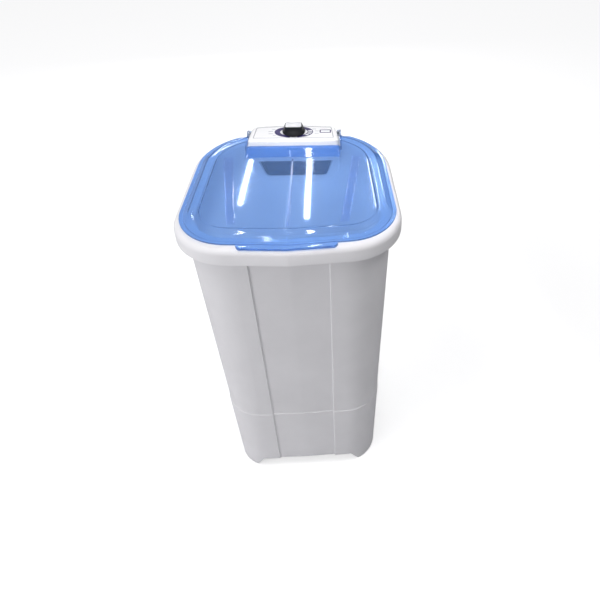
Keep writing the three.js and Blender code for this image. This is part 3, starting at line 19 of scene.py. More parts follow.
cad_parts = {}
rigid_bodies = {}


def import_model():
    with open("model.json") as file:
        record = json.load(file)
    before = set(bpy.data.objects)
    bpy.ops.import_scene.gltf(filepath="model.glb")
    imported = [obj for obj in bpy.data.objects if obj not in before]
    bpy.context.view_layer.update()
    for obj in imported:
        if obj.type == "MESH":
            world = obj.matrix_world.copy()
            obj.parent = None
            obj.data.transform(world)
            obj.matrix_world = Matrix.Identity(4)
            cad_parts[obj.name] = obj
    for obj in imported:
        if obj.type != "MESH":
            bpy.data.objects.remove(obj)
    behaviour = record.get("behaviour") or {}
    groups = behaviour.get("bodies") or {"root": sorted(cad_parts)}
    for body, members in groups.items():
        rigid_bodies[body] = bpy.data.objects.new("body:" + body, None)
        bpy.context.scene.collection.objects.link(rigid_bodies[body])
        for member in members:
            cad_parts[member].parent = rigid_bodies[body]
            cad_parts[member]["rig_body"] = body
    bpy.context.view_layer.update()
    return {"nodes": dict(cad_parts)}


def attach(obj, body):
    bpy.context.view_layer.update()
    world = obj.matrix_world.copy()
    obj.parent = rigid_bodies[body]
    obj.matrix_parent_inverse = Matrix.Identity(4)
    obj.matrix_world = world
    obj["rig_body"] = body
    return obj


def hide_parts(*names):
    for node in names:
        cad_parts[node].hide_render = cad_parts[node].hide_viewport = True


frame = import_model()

MM = 0.001
LEAST_RADIUS = 0.05
SHARP = 32.0
EDGE_STEPS = 3
TURNED_SIDES = 72
PATCH_SIZE = 14.0
log = logging.getLogger("washer")


class Side(Enum):
    """Left and right of the machine, seen from the front."""

    LEFT = -1
    RIGHT = 1


class Way(Enum):
    """Which axis a flat outline is carried along."""

    UP = (0, 1, 2)
    BACK = (0, 2, 1)
    ACROSS = (2, 0, 1)


# Shapes


def bend(corners: np.ndarray, inset: float = 0.0, arc: int = 6, side: int = 0) -> np.ndarray:
    """Rounded polygon, moved inwards.

    Each side moves along its left normal by the inset, and neighbours meet in a vertex. A corner's
    arc has its centre one radius from both sides, and its points are the spoke to the first side
    turned by equal parts of the angle between the sides.

    Args:
        corners: Rows of x, y and radius, counter-clockwise.
        inset: How far the sides move inwards.
        arc: Steps of each corner's arc.
        side: Points between two arcs.

    Returns:
        The outline's points, one row each.
    """
    corners = np.asarray(corners, float)
    place, radius = corners[:, :2], corners[:, 2]
    along = np.roll(place, -1, 0) - place
    along /= np.linalg.norm(along, axis=1, keepdims=True)
    left = np.stack([-along[:, 1], along[:, 0]], 1)
    start = place + left * inset
    before, start_before, left_before = (np.roll(a, 1, 0) for a in (along, start, left))
    turn = before[:, 0] * along[:, 1] - before[:, 1] * along[:, 0]
    gap = start - start_before
    reach = (gap[:, 0] * along[:, 1] - gap[:, 1] * along[:, 0]) / turn
    vertex = start_before + before * reach[:, None]
    angle = np.arctan2(turn, (before * along).sum(1))
    hand = np.sign(angle)
    rounding = np.maximum(radius - hand * inset, LEAST_RADIUS)
    tangent = rounding * np.tan(np.abs(angle) / 2)
    centre = vertex - before * tangent[:, None] + left_before * (hand * rounding)[:, None]
    spoke = -left_before * (hand * rounding)[:, None]
    theta = angle[:, None] * np.linspace(0, 1, arc + 1)
    cos, sin = np.cos(theta), np.sin(theta)
    x = centre[:, :1] + cos * spoke[:, :1] - sin * spoke[:, 1:]
    y = centre[:, 1:] + sin * spoke[:, :1] + cos * spoke[:, 1:]
    arcs = np.stack([x, y], -1)
    share = np.linspace(0, 1, side + 2)[1:-1, None]
    last, following = arcs[:, -1:], np.roll(arcs[:, :1], -1, 0)
    return np.concatenate([arcs, last + share * (following - last)], 1).reshape(-1, 2)


def raised(outline: np.ndarray, z: np.ndarray | float) -> np.ndarray:
    """Puts a flat outline at a height, which may differ from point to point."""
    return np.column_stack([outline, np.broadcast_to(z, len(outline))])


def smooth(share: np.ndarray) -> np.ndarray:
    """Rises from 0 to 1 with no kink: three times the square less twice the cube."""
    share = np.clip(share, 0, 1)
    return share * share * (3 - 2 * share)


def around(count: int) -> np.ndarray:
    """Even angles round a whole circle."""
    return np.linspace(0, 2 * math.pi, count, endpoint=False)


def unit(angle: np.ndarray) -> np.ndarray:
    """Points of the unit circle at the angles."""
    return np.column_stack([np.cos(angle), np.sin(angle)])


def swing(ring: Callable, centre: tuple, radii: tuple, turn: tuple[float, float],
          count: int) -> list[np.ndarray]:
    """Rings along an arc of a section, each made from centre + radii * (cos, sin) of its angle.

    Args:
        ring: Makes a ring of points from both coordinates of the section.
        centre: The arc's centre.
        radii: Its radii.
        turn: First and last angle in degrees.
        count: Number of rings.

    Returns:
        The rings, in order.
    """
    return [ring(centre[0] + radii[0] * math.cos(a), centre[1] + radii[1] * math.sin(a))
            for a in np.radians(np.linspace(*turn, count))]


@dataclass
class Shape:
    """Closed surface: points in millimetres, and blocks of faces with equally many corners."""

    points: np.ndarray
    faces: list[np.ndarray]

    def outward(self) -> "Shape":
        """Turns the faces round if the volume under them comes out negative.

        Returns:
            The shape itself. The volume is the sum of each face's tetrahedra to the origin.
        """
        volume = 0.0
        for block in self.faces:
            a = self.points[block[:, 0]]
            for k in range(1, block.shape[1] - 1):
                b, c = self.points[block[:, k]], self.points[block[:, k + 1]]
                volume += np.einsum("ij,ij->", a, np.cross(b, c))
        if volume < 0:
            self.faces = [block[:, ::-1] for block in self.faces]
        return self

    def along(self, way: Way) -> "Shape":
        """Swaps the axes, so that what was made upright lies along the way."""
        return Shape(self.points[:, way.value], self.faces).outward()

    def moved(self, offset: tuple[float, float, float], turn: Matrix) -> "Shape":
        """Turns the shape about the origin, and then moves it."""
        return Shape(self.points @ np.array(turn.to_3x3()).T + np.array(offset, float), self.faces)


def joined(shapes: list[Shape]) -> Shape:
    """Puts several closed surfaces into one shape: each one's faces count on from the points before it.

    Args:
        shapes: The surfaces.

    Returns:
        One shape of them all.
    """
    points, faces, count = [], [], 0
    for shape in shapes:
        points.append(shape.points)
        faces += [block + count for block in shape.faces]
        count += len(shape.points)
    return Shape(np.concatenate(points), faces)


def skin(rows: list[np.ndarray], loop: bool = False) -> Shape:
    """Side faces between rings of equally many points.

    Args:
        rows: Rings of points, in order along the surface.
        loop: True where the last ring joins the first, else both ends get a fan to their middle.

    Returns:
        A closed shape with its faces outwards.
    """
    rings = np.asarray(rows, float)
    bands, count = rings.shape[:2]
    band = np.arange(bands if loop else bands - 1)[:, None] * count
    here = np.arange(count)[None, :]
    after = (here + 1) % count
    high = (band + count) % (bands * count)
    faces = [np.stack([band + here, band + after, high + after, high + here], -1).reshape(-1, 4)]
    points = rings.reshape(-1, 3)
    if not loop:
        points = np.vstack([points, rings[0].mean(0), rings[-1].mean(0)])
        last = (bands - 1) * count
        pole = np.full(count, bands * count)
        faces.append(np.stack([after[0], here[0], pole], -1))
        faces.append(np.stack([last + here[0], last + after[0], pole + 1], -1))
    return Shape(points, faces).outward()


def levels(low: float, high: float, foot: float, brow: float) -> np.ndarray:
    """Inset and height along a wall whose lower and upper edges are quarter rounds.

    Args:
        low: Height of the underside.
        high: Height of the top.
        foot: Radius of the lower edge.
        brow: Radius of the upper edge.

    Returns:
        Rows of inset and height.
    """
    angle = np.linspace(0, math.pi / 2, EDGE_STEPS + 1)
    lower = np.column_stack([foot * (1 - np.sin(angle)), low + foot * (1 - np.cos(angle))])
    upper = np.column_stack([brow * (1 - np.cos(angle)), high - brow + brow * np.sin(angle)])
    return np.concatenate([lower, upper])


def plate(corners: list, low: float, high: float, foot: float = 0.2, brow: float = 0.2,
          way: Way = Way.UP, inset: float = 0.0, arc: int = 6) -> Shape:
    """Rounded outline carried along an axis, with rounded edges.

    Args:
        corners: Rows of x, y and radius in the outline's own plane.
        low: Where it starts on the axis.
        high: Where it ends.
        foot: Radius of the edge at the start.
        brow: Radius of the edge at the end.
        way: The axis.
        inset: How far the whole outline is moved inwards.
        arc: Steps of each corner.

    Returns:
        A closed shape.
    """
    rings = [raised(bend(corners, inset + step, arc), z) for step, z in levels(low, high, foot, brow)]
    return skin(rings).along(way)


def box_corners(half_x: float, half_y: float, radius: float, x: float = 0, y: float = 0) -> list:
    """Corners of a rounded rectangle about a point."""
    return [(x - half_x, y - half_y, radius), (x + half_x, y - half_y, radius),
            (x + half_x, y + half_y, radius), (x - half_x, y + half_y, radius)]


def turned(profile: list, arc: int = 3) -> Shape:
    """Profile turned about the Z axis: each of its points becomes a circle.

    Args:
        profile: Rows of radius, height and rounding. One that starts at radius 0 has no bore.
        arc: Steps of each rounding.

    Returns:
        A closed shape.
    """
    path = bend(profile, arc=arc)
    bored = profile[0][0] > 0
    if not bored:
        path = path[path[:, 0] > 4 * LEAST_RADIUS]
    ring = unit(around(TURNED_SIDES))
    return skin([raised(radius * ring, height) for radius, height in path], loop=bored)


def rod(radius: float, low: float, high: float, x: float = 0, y: float = 0,
        way: Way = Way.UP, sides: int = 32) -> Shape:
    """Plain cylinder along an axis, at x and y of its own plane."""
    ring = radius * unit(around(sides)) + (x, y)
    return skin([raised(ring, low), raised(ring, high)]).along(way)


# Pieces


def shade(piece: bpy.types.Object, angle: float = SHARP) -> None:
    """Smooths the shading and keeps edges sharper than the angle, in degrees."""
    piece.data.shade_smooth()
    piece.data.set_sharp_from_angle(angle=math.radians(angle))


def solid(name: str, shape: Shape) -> bpy.types.Object:
    """Makes a mesh object at the origin, in metres.

    Args:
        name: The object's and the mesh's name.
        shape: Its surface, in millimetres.

    Returns:
        The object.
    """
    mesh = bpy.data.meshes.new(name)
    mesh.from_pydata((shape.points * MM).tolist(), [], [f for b in shape.faces for f in b.tolist()])
    mesh.validate()
    made = bpy.data.objects.new(name, mesh)
    bpy.context.scene.collection.objects.link(made)
    return made


def carve(piece: bpy.types.Object, cutters: list[Shape]) -> None:
    """Cuts shapes out of a piece, and keeps the result as its mesh.

    Args:
        piece: The piece.
        cutters: Closed shapes that don't touch each other.
    """
    cutter = solid("cutter", joined(cutters))
    cut = piece.modifiers.new("cut", "BOOLEAN")
    cut.operation = "DIFFERENCE"
    cut.solver = "EXACT"
    cut.object = cutter
    graph = bpy.context.evaluated_depsgraph_get()
    old = piece.data
    piece.data = bpy.data.meshes.new_from_object(piece.evaluated_get(graph))
    piece.data.name = piece.name
    piece.modifiers.clear()
    bpy.data.meshes.remove(old)
    bpy.data.objects.remove(cutter)


def finished(name: str, shape: Shape, body: str, finish: "Finish",
             stands_for: tuple[str, ...] = (), cutters: list[Shape] | None = None,
             angle: float = SHARP) -> bpy.types.Object:
    """Makes a piece, dresses it and lets it ride on its body.

    Args:
        name: The piece's name.
        shape: Its surface.
        body: The body that it moves with.
        finish: Its material.
        stands_for: CAD nodes that it replaces.
        cutters: Shapes that are cut out of it.
        angle: Edges sharper than this many degrees stay sharp.

    Returns:
        The object.
    """
    made = solid(name, shape)
    if cutters:
        carve(made, cutters)
    shade(made, angle)
    made.data.materials.append(finish.material())
    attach(made, body)
    if stands_for:
        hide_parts(*stands_for)
    log.info("piece %s: %d faces on %s", name, len(made.data.polygons), body)
    return made


# Materials


def linear(colour: str) -> tuple[float, float, float, float]:
    """Turns an sRGB hex colour into the linear values that Blender takes."""
    parts = [int(colour[i:i + 2], 16) / 255 for i in (1, 3, 5)]
    return (*[p / 12.92 if p <= 0.04045 else ((p + 0.055) / 1.055) ** 2.4 for p in parts], 1.0)


def add(tree: bpy.types.NodeTree, kind: str, inputs: dict | None = None, **settings) -> bpy.types.Node:
    """Adds a node, sets it and links it.

    Args:
        tree: The material's nodes.
        kind: Blender's name for the node.
        inputs: Socket name or number, with a value or with the output that is linked to it.
        **settings: The node's own settings.

    Returns:
        The node.
    """
    made = tree.nodes.new(kind)
    for name, value in settings.items():
        setattr(made, name, value)
    for socket, value in (inputs or {}).items():
        if isinstance(value, bpy.types.NodeSocket):
            tree.links.new(value, made.inputs[socket])
        else:
            made.inputs[socket].default_value = value
    return made


def fresh(owner: bpy.types.Material | bpy.types.World) -> bpy.types.NodeTree:
    """Switches nodes on, and empties them.

    Args:
        owner: The material or the world.

    Returns:
        Its empty tree.
    """
    owner.use_nodes = True
    owner.node_tree.nodes.clear()
    return owner.node_tree


class Grain(Enum):
    """How a surface's finest relief runs: stretch of the pattern along X, Y and Z."""

    SPARKED = (1.0, 1.0, 1.0)
    DRAWN = (0.06, 1.0, 1.0)


@dataclass(frozen=True)
class Finish:
    """Surface whose colour and roughness wander in soft clouds, with a fine relief and worn edges.

    The colour is a mix of two tones by a cloud noise, edges go to the worn tone where the mesh is
    convex, and the relief is a noise as fine as the grain. Clouds, grain and relief are in
    millimetres. The real grain is finer, and is drawn as coarse as it needs to show.
    """

    title: str
    colour: str
    cloud_colour: str
    roughness: float
    rough_spread: float = 0.06
    cloud: float = 90.0
    grain: float = 1.2
    relief: float = 0.02
    run: Grain = Grain.SPARKED
    worn_colour: str = ""
    wear: float = 0.0
    metallic: float = 0.0
    ior: float = 1.5
    coat: float = 0.0
    sheen: float = 0.0

    def material(self) -> bpy.types.Material:
        """Makes the material, or finds it where it was made before.

        Returns:
            The material.
        """
        found = bpy.data.materials.get(self.title)
        if found:
            return found
        made = bpy.data.materials.new(self.title)
        self.wire(fresh(made))
        return made

    def noise(self, tree: bpy.types.NodeTree, size: float, detail: float,
              run: Grain = Grain.SPARKED) -> bpy.types.Node:
        """Noise on the piece's own coordinates.

        Args:
            tree: The material's nodes.
            size: Size of the noise's blobs in millimetres.
            detail: How many finer layers it has.
            run: How it is stretched.

        Returns:
            The noise.
        """
        place = add(tree, "ShaderNodeTexCoord")
        stretch = add(tree, "ShaderNodeMapping", {"Vector": place.outputs["Object"], "Scale": run.value})
        return add(tree, "ShaderNodeTexNoise", {"Vector": stretch.outputs[0], "Scale": 1 / (size * MM),
                                                "Detail": detail, "Roughness": 0.55})

    def tone(self, tree: bpy.types.NodeTree) -> bpy.types.NodeSocket:
        """Colour of the surface: clouds of a second tone, then wear where the mesh is convex.

        Args:
            tree: The material's nodes.

        Returns:
            The socket that gives the colour.
        """
        clouds = self.noise(tree, self.cloud, 4.0)
        level = add(tree, "ShaderNodeMapRange", {"Value": clouds.outputs["Fac"], "From Min": 0.35,
                                                 "From Max": 0.68})
        mixed = add(tree, "ShaderNodeMix", {0: level.outputs[0], 6: linear(self.colour),
                                            7: linear(self.cloud_colour)}, data_type="RGBA")
        if self.wear:
            shape = add(tree, "ShaderNodeNewGeometry")
            patches = self.noise(tree, PATCH_SIZE, 5.0)
            edge = add(tree, "ShaderNodeMapRange", {"Value": shape.outputs["Pointiness"], "From Min": 0.51,
                                                    "From Max": 0.6, "To Max": self.wear})
            broken = add(tree, "ShaderNodeMath", {0: edge.outputs[0], 1: patches.outputs["Fac"]},
                         operation="MULTIPLY", use_clamp=True)
            mixed = add(tree, "ShaderNodeMix", {0: broken.outputs[0], 6: mixed.outputs[2],
                                                7: linear(self.worn_colour)}, data_type="RGBA")
        return mixed.outputs[2]

    def skinned(self, tree: bpy.types.NodeTree, size: float, detail: float, strength: float) -> dict:
        """Inputs of a shader whose roughness wanders and whose surface has the fine relief.

        Args:
            tree: The material's nodes.
            size: Size of the roughness's clouds in millimetres.
            detail: Their detail.
            strength: How much of the relief shows.

        Returns:
            Socket names with their values.
        """
        gloss = self.noise(tree, size, detail)
        rough = add(tree, "ShaderNodeMapRange", {
            "Value": gloss.outputs["Fac"], "From Min": 0.3, "From Max": 0.7,
            "To Min": self.roughness - self.rough_spread, "To Max": self.roughness + self.rough_spread})
        fine = self.noise(tree, self.grain, 2.0, self.run)
        bump = add(tree, "ShaderNodeBump", {"Height": fine.outputs["Fac"], "Distance": self.relief * MM,
                                            "Strength": strength})
        return {"Roughness": rough.outputs[0], "Normal": bump.outputs[0], "IOR": self.ior}

    def wire(self, tree: bpy.types.NodeTree) -> None:
        """Links the patterns to one surface shader.

        Args:
            tree: The material's nodes.
        """
        shader = add(tree, "ShaderNodeBsdfPrincipled", {
            "Base Color": self.tone(tree), "Metallic": self.metallic, "Coat Weight": self.coat,
            "Sheen Weight": self.sheen, **self.skinned(tree, self.cloud / 5, 5.0, 0.6)})
        add(tree, "ShaderNodeOutputMaterial", {"Surface": shader.outputs[0]})


@dataclass(frozen=True)
class TintedShell(Finish):
    """Clear tinted plastic with a haze of its own colour, which lets lamps through to what is under it.

    Rays from the eye meet tinted glass mixed with a little of the haze, and rays from the lamps
    meet a see-through tint, so that the basin under the lid is lit.
    """

    haze_colour: str = "#72A8F0"
    haze: float = 0.14
    lamp_tint: str = "#F4F8FF"

    def wire(self, tree: bpy.types.NodeTree) -> None:
        """Links the glass, its haze and the see-through tint, the last by the kind of ray.

        Args:
            tree: The material's nodes.
        """
        surface = self.skinned(tree, self.cloud, 4.0, 0.4)
        glass = add(tree, "ShaderNodeBsdfPrincipled", {"Base Color": self.tone(tree),
                                                       "Transmission Weight": 1.0, **surface})
        body = add(tree, "ShaderNodeBsdfPrincipled", {"Base Color": linear(self.haze_colour), **surface})
        hazy = add(tree, "ShaderNodeMixShader", {0: self.haze, 1: glass.outputs[0], 2: body.outputs[0]})
        clear = add(tree, "ShaderNodeBsdfTransparent", {"Color": linear(self.lamp_tint)})
        ray = add(tree, "ShaderNodeLightPath")
        both = add(tree, "ShaderNodeMixShader", {0: ray.outputs["Is Shadow Ray"], 1: hazy.outputs[0],
                                                 2: clear.outputs[0]})
        add(tree, "ShaderNodeOutputMaterial", {"Surface": both.outputs[0]})


# Polypropylene from a spark-eroded mould: satin white whose fine grain breaks up highlights
CABINET_WHITE = Finish("moulded_polypropylene_cabinet", "#E5E4E8", "#DFDEE2", 0.54, grain=2.2, relief=0.09,
                       worn_colour="#EDEDF0", wear=0.15, cloud=160)
# The same plastic from a polished mould: brighter and smoother, with long soft highlights
RIM_WHITE = Finish("moulded_polypropylene_rim", "#EEEDF1", "#EBEAEE", 0.3, rough_spread=0.015, grain=2.5,
                   relief=0.01, cloud=160)
# Glossy ABS: clean white with sharper highlights than polypropylene
CONSOLE_WHITE = Finish("glossy_abs_console", "#F3F3F5", "#EFEFF2", 0.24, grain=3.0, relief=0.008, cloud=60,
                       coat=0.15)
# Printed polycarbonate film: flat white with a slight orange peel
FASCIA_FILM = Finish("printed_polycarbonate_film", "#EEEEF1", "#EBEBEE", 0.34, grain=0.8, relief=0.01,
                     cloud=50)
# Screen-printed ink: dark indigo, a thin and slightly uneven layer
INDIGO_INK = Finish("indigo_screen_ink", "#271D58", "#322768", 0.42, grain=0.7, relief=0.012, cloud=12)
# The same ink in grey: a flat pale line
GREY_INK = Finish("grey_screen_ink", "#8C8D98", "#82838E", 0.5, grain=0.7, relief=0.01, cloud=12)
# Transparent blue polystyrene: sharp reflections over a tint that deepens with each wall
LID_BLUE = TintedShell("tinted_polystyrene_lid", "#AACFFA", "#A5CBF9", 0.045, rough_spread=0.015, grain=14.0,
                       relief=0.01, cloud=140)
# The same plastic where it is thin: little tint of its own, so that two layers don't look dark
LID_CLEAR = replace(LID_BLUE, title="thin_tinted_polystyrene", colour="#E6F0FF", cloud_colour="#E0ECFF",
                    haze=0.02)
# The same plastic at the ramp to the console, in a deeper blue: painted shade from under the console
LID_RAMP_SHADE = replace(LID_BLUE, title="deep_tinted_polystyrene", colour="#B4D6FC", cloud_colour="#AED1FB",
                   haze_colour="#6199E4", haze=0.22)
# Satin ABS: near black with a soft face, a little paler where fingers rub it
KNOB_BLACK = Finish("satin_abs_knob", "#0A0B0F", "#101217", 0.4, grain=0.9, relief=0.02, cloud=18,
                    worn_colour="#3A3C45", wear=0.15)
# Brushed aluminium foil: fine lines along the knob's plate, and a pale soft shine
BRUSHED_FOIL = Finish("brushed_aluminium_foil", "#E6E7EB", "#DCDDE2", 0.36, grain=0.35, relief=0.02,
                      run=Grain.DRAWN, cloud=14, metallic=0.45)
# Blue polypropylene of the impeller's cap: satin and slightly cloudy, with paler edges
CAP_BLUE = Finish("moulded_polypropylene_filter", "#33498C", "#3B5296", 0.38, grain=1.2, relief=0.02,
                     cloud=30, worn_colour="#6C82C4", wear=0.3)
# Dark navy on the lint filter and on the tub's pocket behind the slot: painted shade of the unlit recess;
# satin, with paler worn edges
SLOT_SHADE_NAVY = Finish("dark_polypropylene_filter", "#141B3C", "#192145", 0.45, grain=1.2, relief=0.03,
                     cloud=30, worn_colour="#34427A", wear=0.3)
# Zinc-plated steel: satin, a little cloudy, with soft streaks
ZINC = Finish("zinc_plated_steel", "#B4B7BA", "#9CA0A4", 0.4, grain=0.5, relief=0.01, cloud=9, metallic=0.85,
              worn_colour="#D6D8DA", wear=0.6)
# Drawn bright steel: fine lines along the bar
STEEL = Finish("drawn_bright_steel", "#ADB0B4", "#9B9EA3", 0.28, grain=0.3, relief=0.01, cloud=12,
               run=Grain.DRAWN, metallic=0.95)
# Die-cast aluminium: dull and slightly pitted
CAST = Finish("die_cast_aluminium", "#A9ABAD", "#97999C", 0.55, grain=1.4, relief=0.06, cloud=16,
              metallic=0.8, worn_colour="#CDCFD0", wear=0.6)
# Punched steel sheets of the motor's core: fine layers and a thin varnish
LAMINATED = Finish("laminated_motor_steel", "#70747A", "#5E6268", 0.42, grain=0.9, relief=0.12, cloud=20,
                   run=Grain.DRAWN, metallic=0.75, coat=0.2)
# Sintered bronze: brown, dull and oily
BRONZE = Finish("sintered_bronze", "#96703F", "#855F33", 0.48, grain=0.4, relief=0.02, cloud=8, metallic=0.85)
# Black rubber: matt, with a faint bloom
RUBBER = Finish("black_rubber", "#1B1B1D", "#252527", 0.75, grain=0.8, relief=0.04, cloud=14,
                worn_colour="#3A3A3C", wear=0.7, sheen=0.2)
# Rubber belt with its cloth cover: matt with a fine weave
BELT = Finish("fabric_faced_belt_rubber", "#202022", "#2B2B2D", 0.8, grain=0.6, relief=0.08, cloud=20)
# Soft PVC hose: dark grey with a dull sheen
HOSE = Finish("soft_pvc_hose", "#3A3C40", "#44464B", 0.5, grain=1.5, relief=0.03, cloud=25)
# Grey polypropylene fittings: satin, paler where the edges are scuffed
GREY_PLASTIC = Finish("moulded_grey_polypropylene", "#8B8E92", "#7F8286", 0.48, grain=1.2, relief=0.03,
                      cloud=18, worn_colour="#A9ACB0", wear=0.5)
# Dark nylon: satin charcoal with paler edges
DARK_PLASTIC = Finish("moulded_dark_nylon", "#2C2E31", "#36383C", 0.46, grain=1.0, relief=0.03, cloud=15,
                      worn_colour="#55585D", wear=0.5)
# PVC lead jacket: smooth and black
LEAD_JACKET = Finish("pvc_lead_jacket", "#1E1F22", "#28292C", 0.42, grain=1.0, relief=0.02, cloud=12)

# Finish, width of the softened edges, and how the names of the nodes begin that keep their CAD form
KEPT_NODES = (
    (CABINET_WHITE, 0.5, ("rear_cover",)),
    (ZINC, 0.25, ("cover_screw", "drain_hose_clamp", "motor_bracket", "bracket_bolt", "motor_bolt",
                  "capacitor_clamp", "pulley_nut")),
    (STEEL, 0.2, ("hinge_pin", "timer_shaft", "impeller_bolt", "impeller_shaft", "motor_rotor")),
    (CAST, 0.6, ("bearing_housing", "motor_end_bell", "motor_pulley", "drive_pulley")),
    (LAMINATED, 0.3, ("motor_stator",)),
    (BRONZE, 0.2, ("shaft_bush",)),
    (RUBBER, 0.4, ("foot_pad", "shaft_seal")),
    (BELT, 0.4, ("drive_belt",)),
    (HOSE, 0.0, ("drain_hose_inner",)),
    (LEAD_JACKET, 0.0, ("motor_lead",)),
    (GREY_PLASTIC, 0.4, ("drain_elbow", "motor_lead_clip", "timer_unit", "run_capacitor")),
    (DARK_PLASTIC, 0.4, ("cable_gland", "motor_fan")),
    (RIM_WHITE, 0.3, ("drain_grille",)),
    # The lint filter in the navy that paints the shade inside the slot
    (SLOT_SHADE_NAVY, 0.3, ("lint_filter_frame", "lint_filter_mesh")),
)


def refine(name: str, finish: Finish, edge: float) -> None:
    """Replaces a CAD node by a merged copy of it with softened edges.

    Args:
        name: The node.
        finish: Its material.
        edge: Width of the softened edges in millimetres, or 0.
    """
    node = frame["nodes"][name]
    mesh = node.data.copy()
    mesh.materials.clear()
    made = bpy.data.objects.new(f"{name}_body", mesh)
    bpy.context.scene.collection.objects.link(made)
    work = bmesh.new()
    work.from_mesh(mesh)
    bmesh.ops.remove_doubles(work, verts=work.verts, dist=0.01 * MM)
    bmesh.ops.dissolve_limit(work, angle_limit=math.radians(1), verts=work.verts, edges=work.edges)
    work.to_mesh(mesh)
    work.free()
    shade(made)
    if edge:
        bevel = made.modifiers.new("edges", "BEVEL")
        bevel.width, bevel.segments, bevel.angle_limit = edge * MM, 2, math.radians(SHARP)
        bevel.harden_normals = True
    mesh.materials.append(finish.material())
    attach(made, node["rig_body"])
    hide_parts(name)
    log.info("piece %s_body: softened by %.1f", name, edge)


def dress_frame() -> None:
    """Dresses every CAD node that no piece stands for yet."""
    for name, node in sorted(frame["nodes"].items()):
        if node.hide_render:
            continue
        found = next(((finish, edge) for finish, edge, starts in KEPT_NODES if name.startswith(starts)), None)
        if found is None:
            raise ValueError(f"node {name} has no finish")
        refine(name, *found)


# Sub-assemblies


@dataclass(frozen=True)
class Plan:
    """Plan outline with six corners, bowed at the front and the rear."""

    half_front: float
    half_rear: float
    front: float
    back: float
    bow_front: float
    bow_rear: float
    front_corner: float
    rear_corner: float
    nose: float
    tail: float

    def corners(self) -> np.ndarray:
        """Corners, counter-clockwise from the middle of the front."""
        front, rear = self.bow_front - self.front, self.back - self.bow_rear
        return np.array([
            (0, -self.front, self.nose), (self.half_front, front, self.front_corner),
            (self.half_rear, rear, self.rear_corner), (0, self.back, self.tail),
            (-self.half_rear, rear, self.rear_corner), (-self.half_front, front, self.front_corner)])

    def outline(self, inset: float = 0.0, arc: int = 12, side: int = 24) -> np.ndarray:
        """Outline moved inwards."""
        return bend(self.corners(), inset, arc, side)

    def ring(self, inset: float, z: np.ndarray | float) -> np.ndarray:
        """Outline moved inwards, at a height."""
        return raised(self.outline(inset), z)

    def within(self, side: float, front: float) -> "Plan":
        """Plan that stands back by one step at the sides and the rear, and by another at the front."""
        return replace(self, half_front=self.half_front - side, half_rear=self.half_rear - side,
                       front=self.front - front, back=self.back - side,
                       front_corner=self.front_corner - side, rear_corner=self.rear_corner - side)

    def panelled(self, inset: float, half: float, depth: float, ramp: float) -> np.ndarray:
        """Outline whose front is set back between two ramps.

        The front between the two corner arcs is a function of x, so it is read at places that
        crowd round both ramps, and moved back by the depth times a smooth step.

        Args:
            inset: How far the outline is moved inwards.
            half: Half the width of the part set back.
            depth: How far it is set back.
            ramp: Width of each ramp.

        Returns:
            The outline's points.
        """
        arc, side = 12, 44
        points = self.outline(inset, arc, side)
        block = arc + 1 + side
        others = points[block:-side]
        front = np.concatenate([points[-side - 1:], points[:block + 1]])
        reach = front[-1, 0]
        right = np.concatenate([np.linspace(0, half - ramp - 1, 20, endpoint=False),
                                np.linspace(half - ramp - 1, half + 1, 10, endpoint=False),
                                np.linspace(half + 1, reach, 14)])
        x = np.concatenate([-right[:0:-1], right])
        y = np.interp(x, front[:, 0], front[:, 1]) + depth * smooth((half - np.abs(x)) / ramp)
        return np.concatenate([np.column_stack([x, y]), others[1:-1]])


RIM = Plan(262, 238, 261, 261, 18, 12, 130, 176, 3, 60)
CABINET_TOP = Plan(236, 222, 248, 249, 9, 9, 118, 158, 60, 60)
CABINET_FOOT = Plan(198, 196, 220, 218, 5, 4, 84, 92, 60, 60)
BASIN_FLOOR = Plan(178, 172, 184, 184, 6, 6, 85, 90, 60, 60)
LID_PLAN = RIM.within(12, 20)


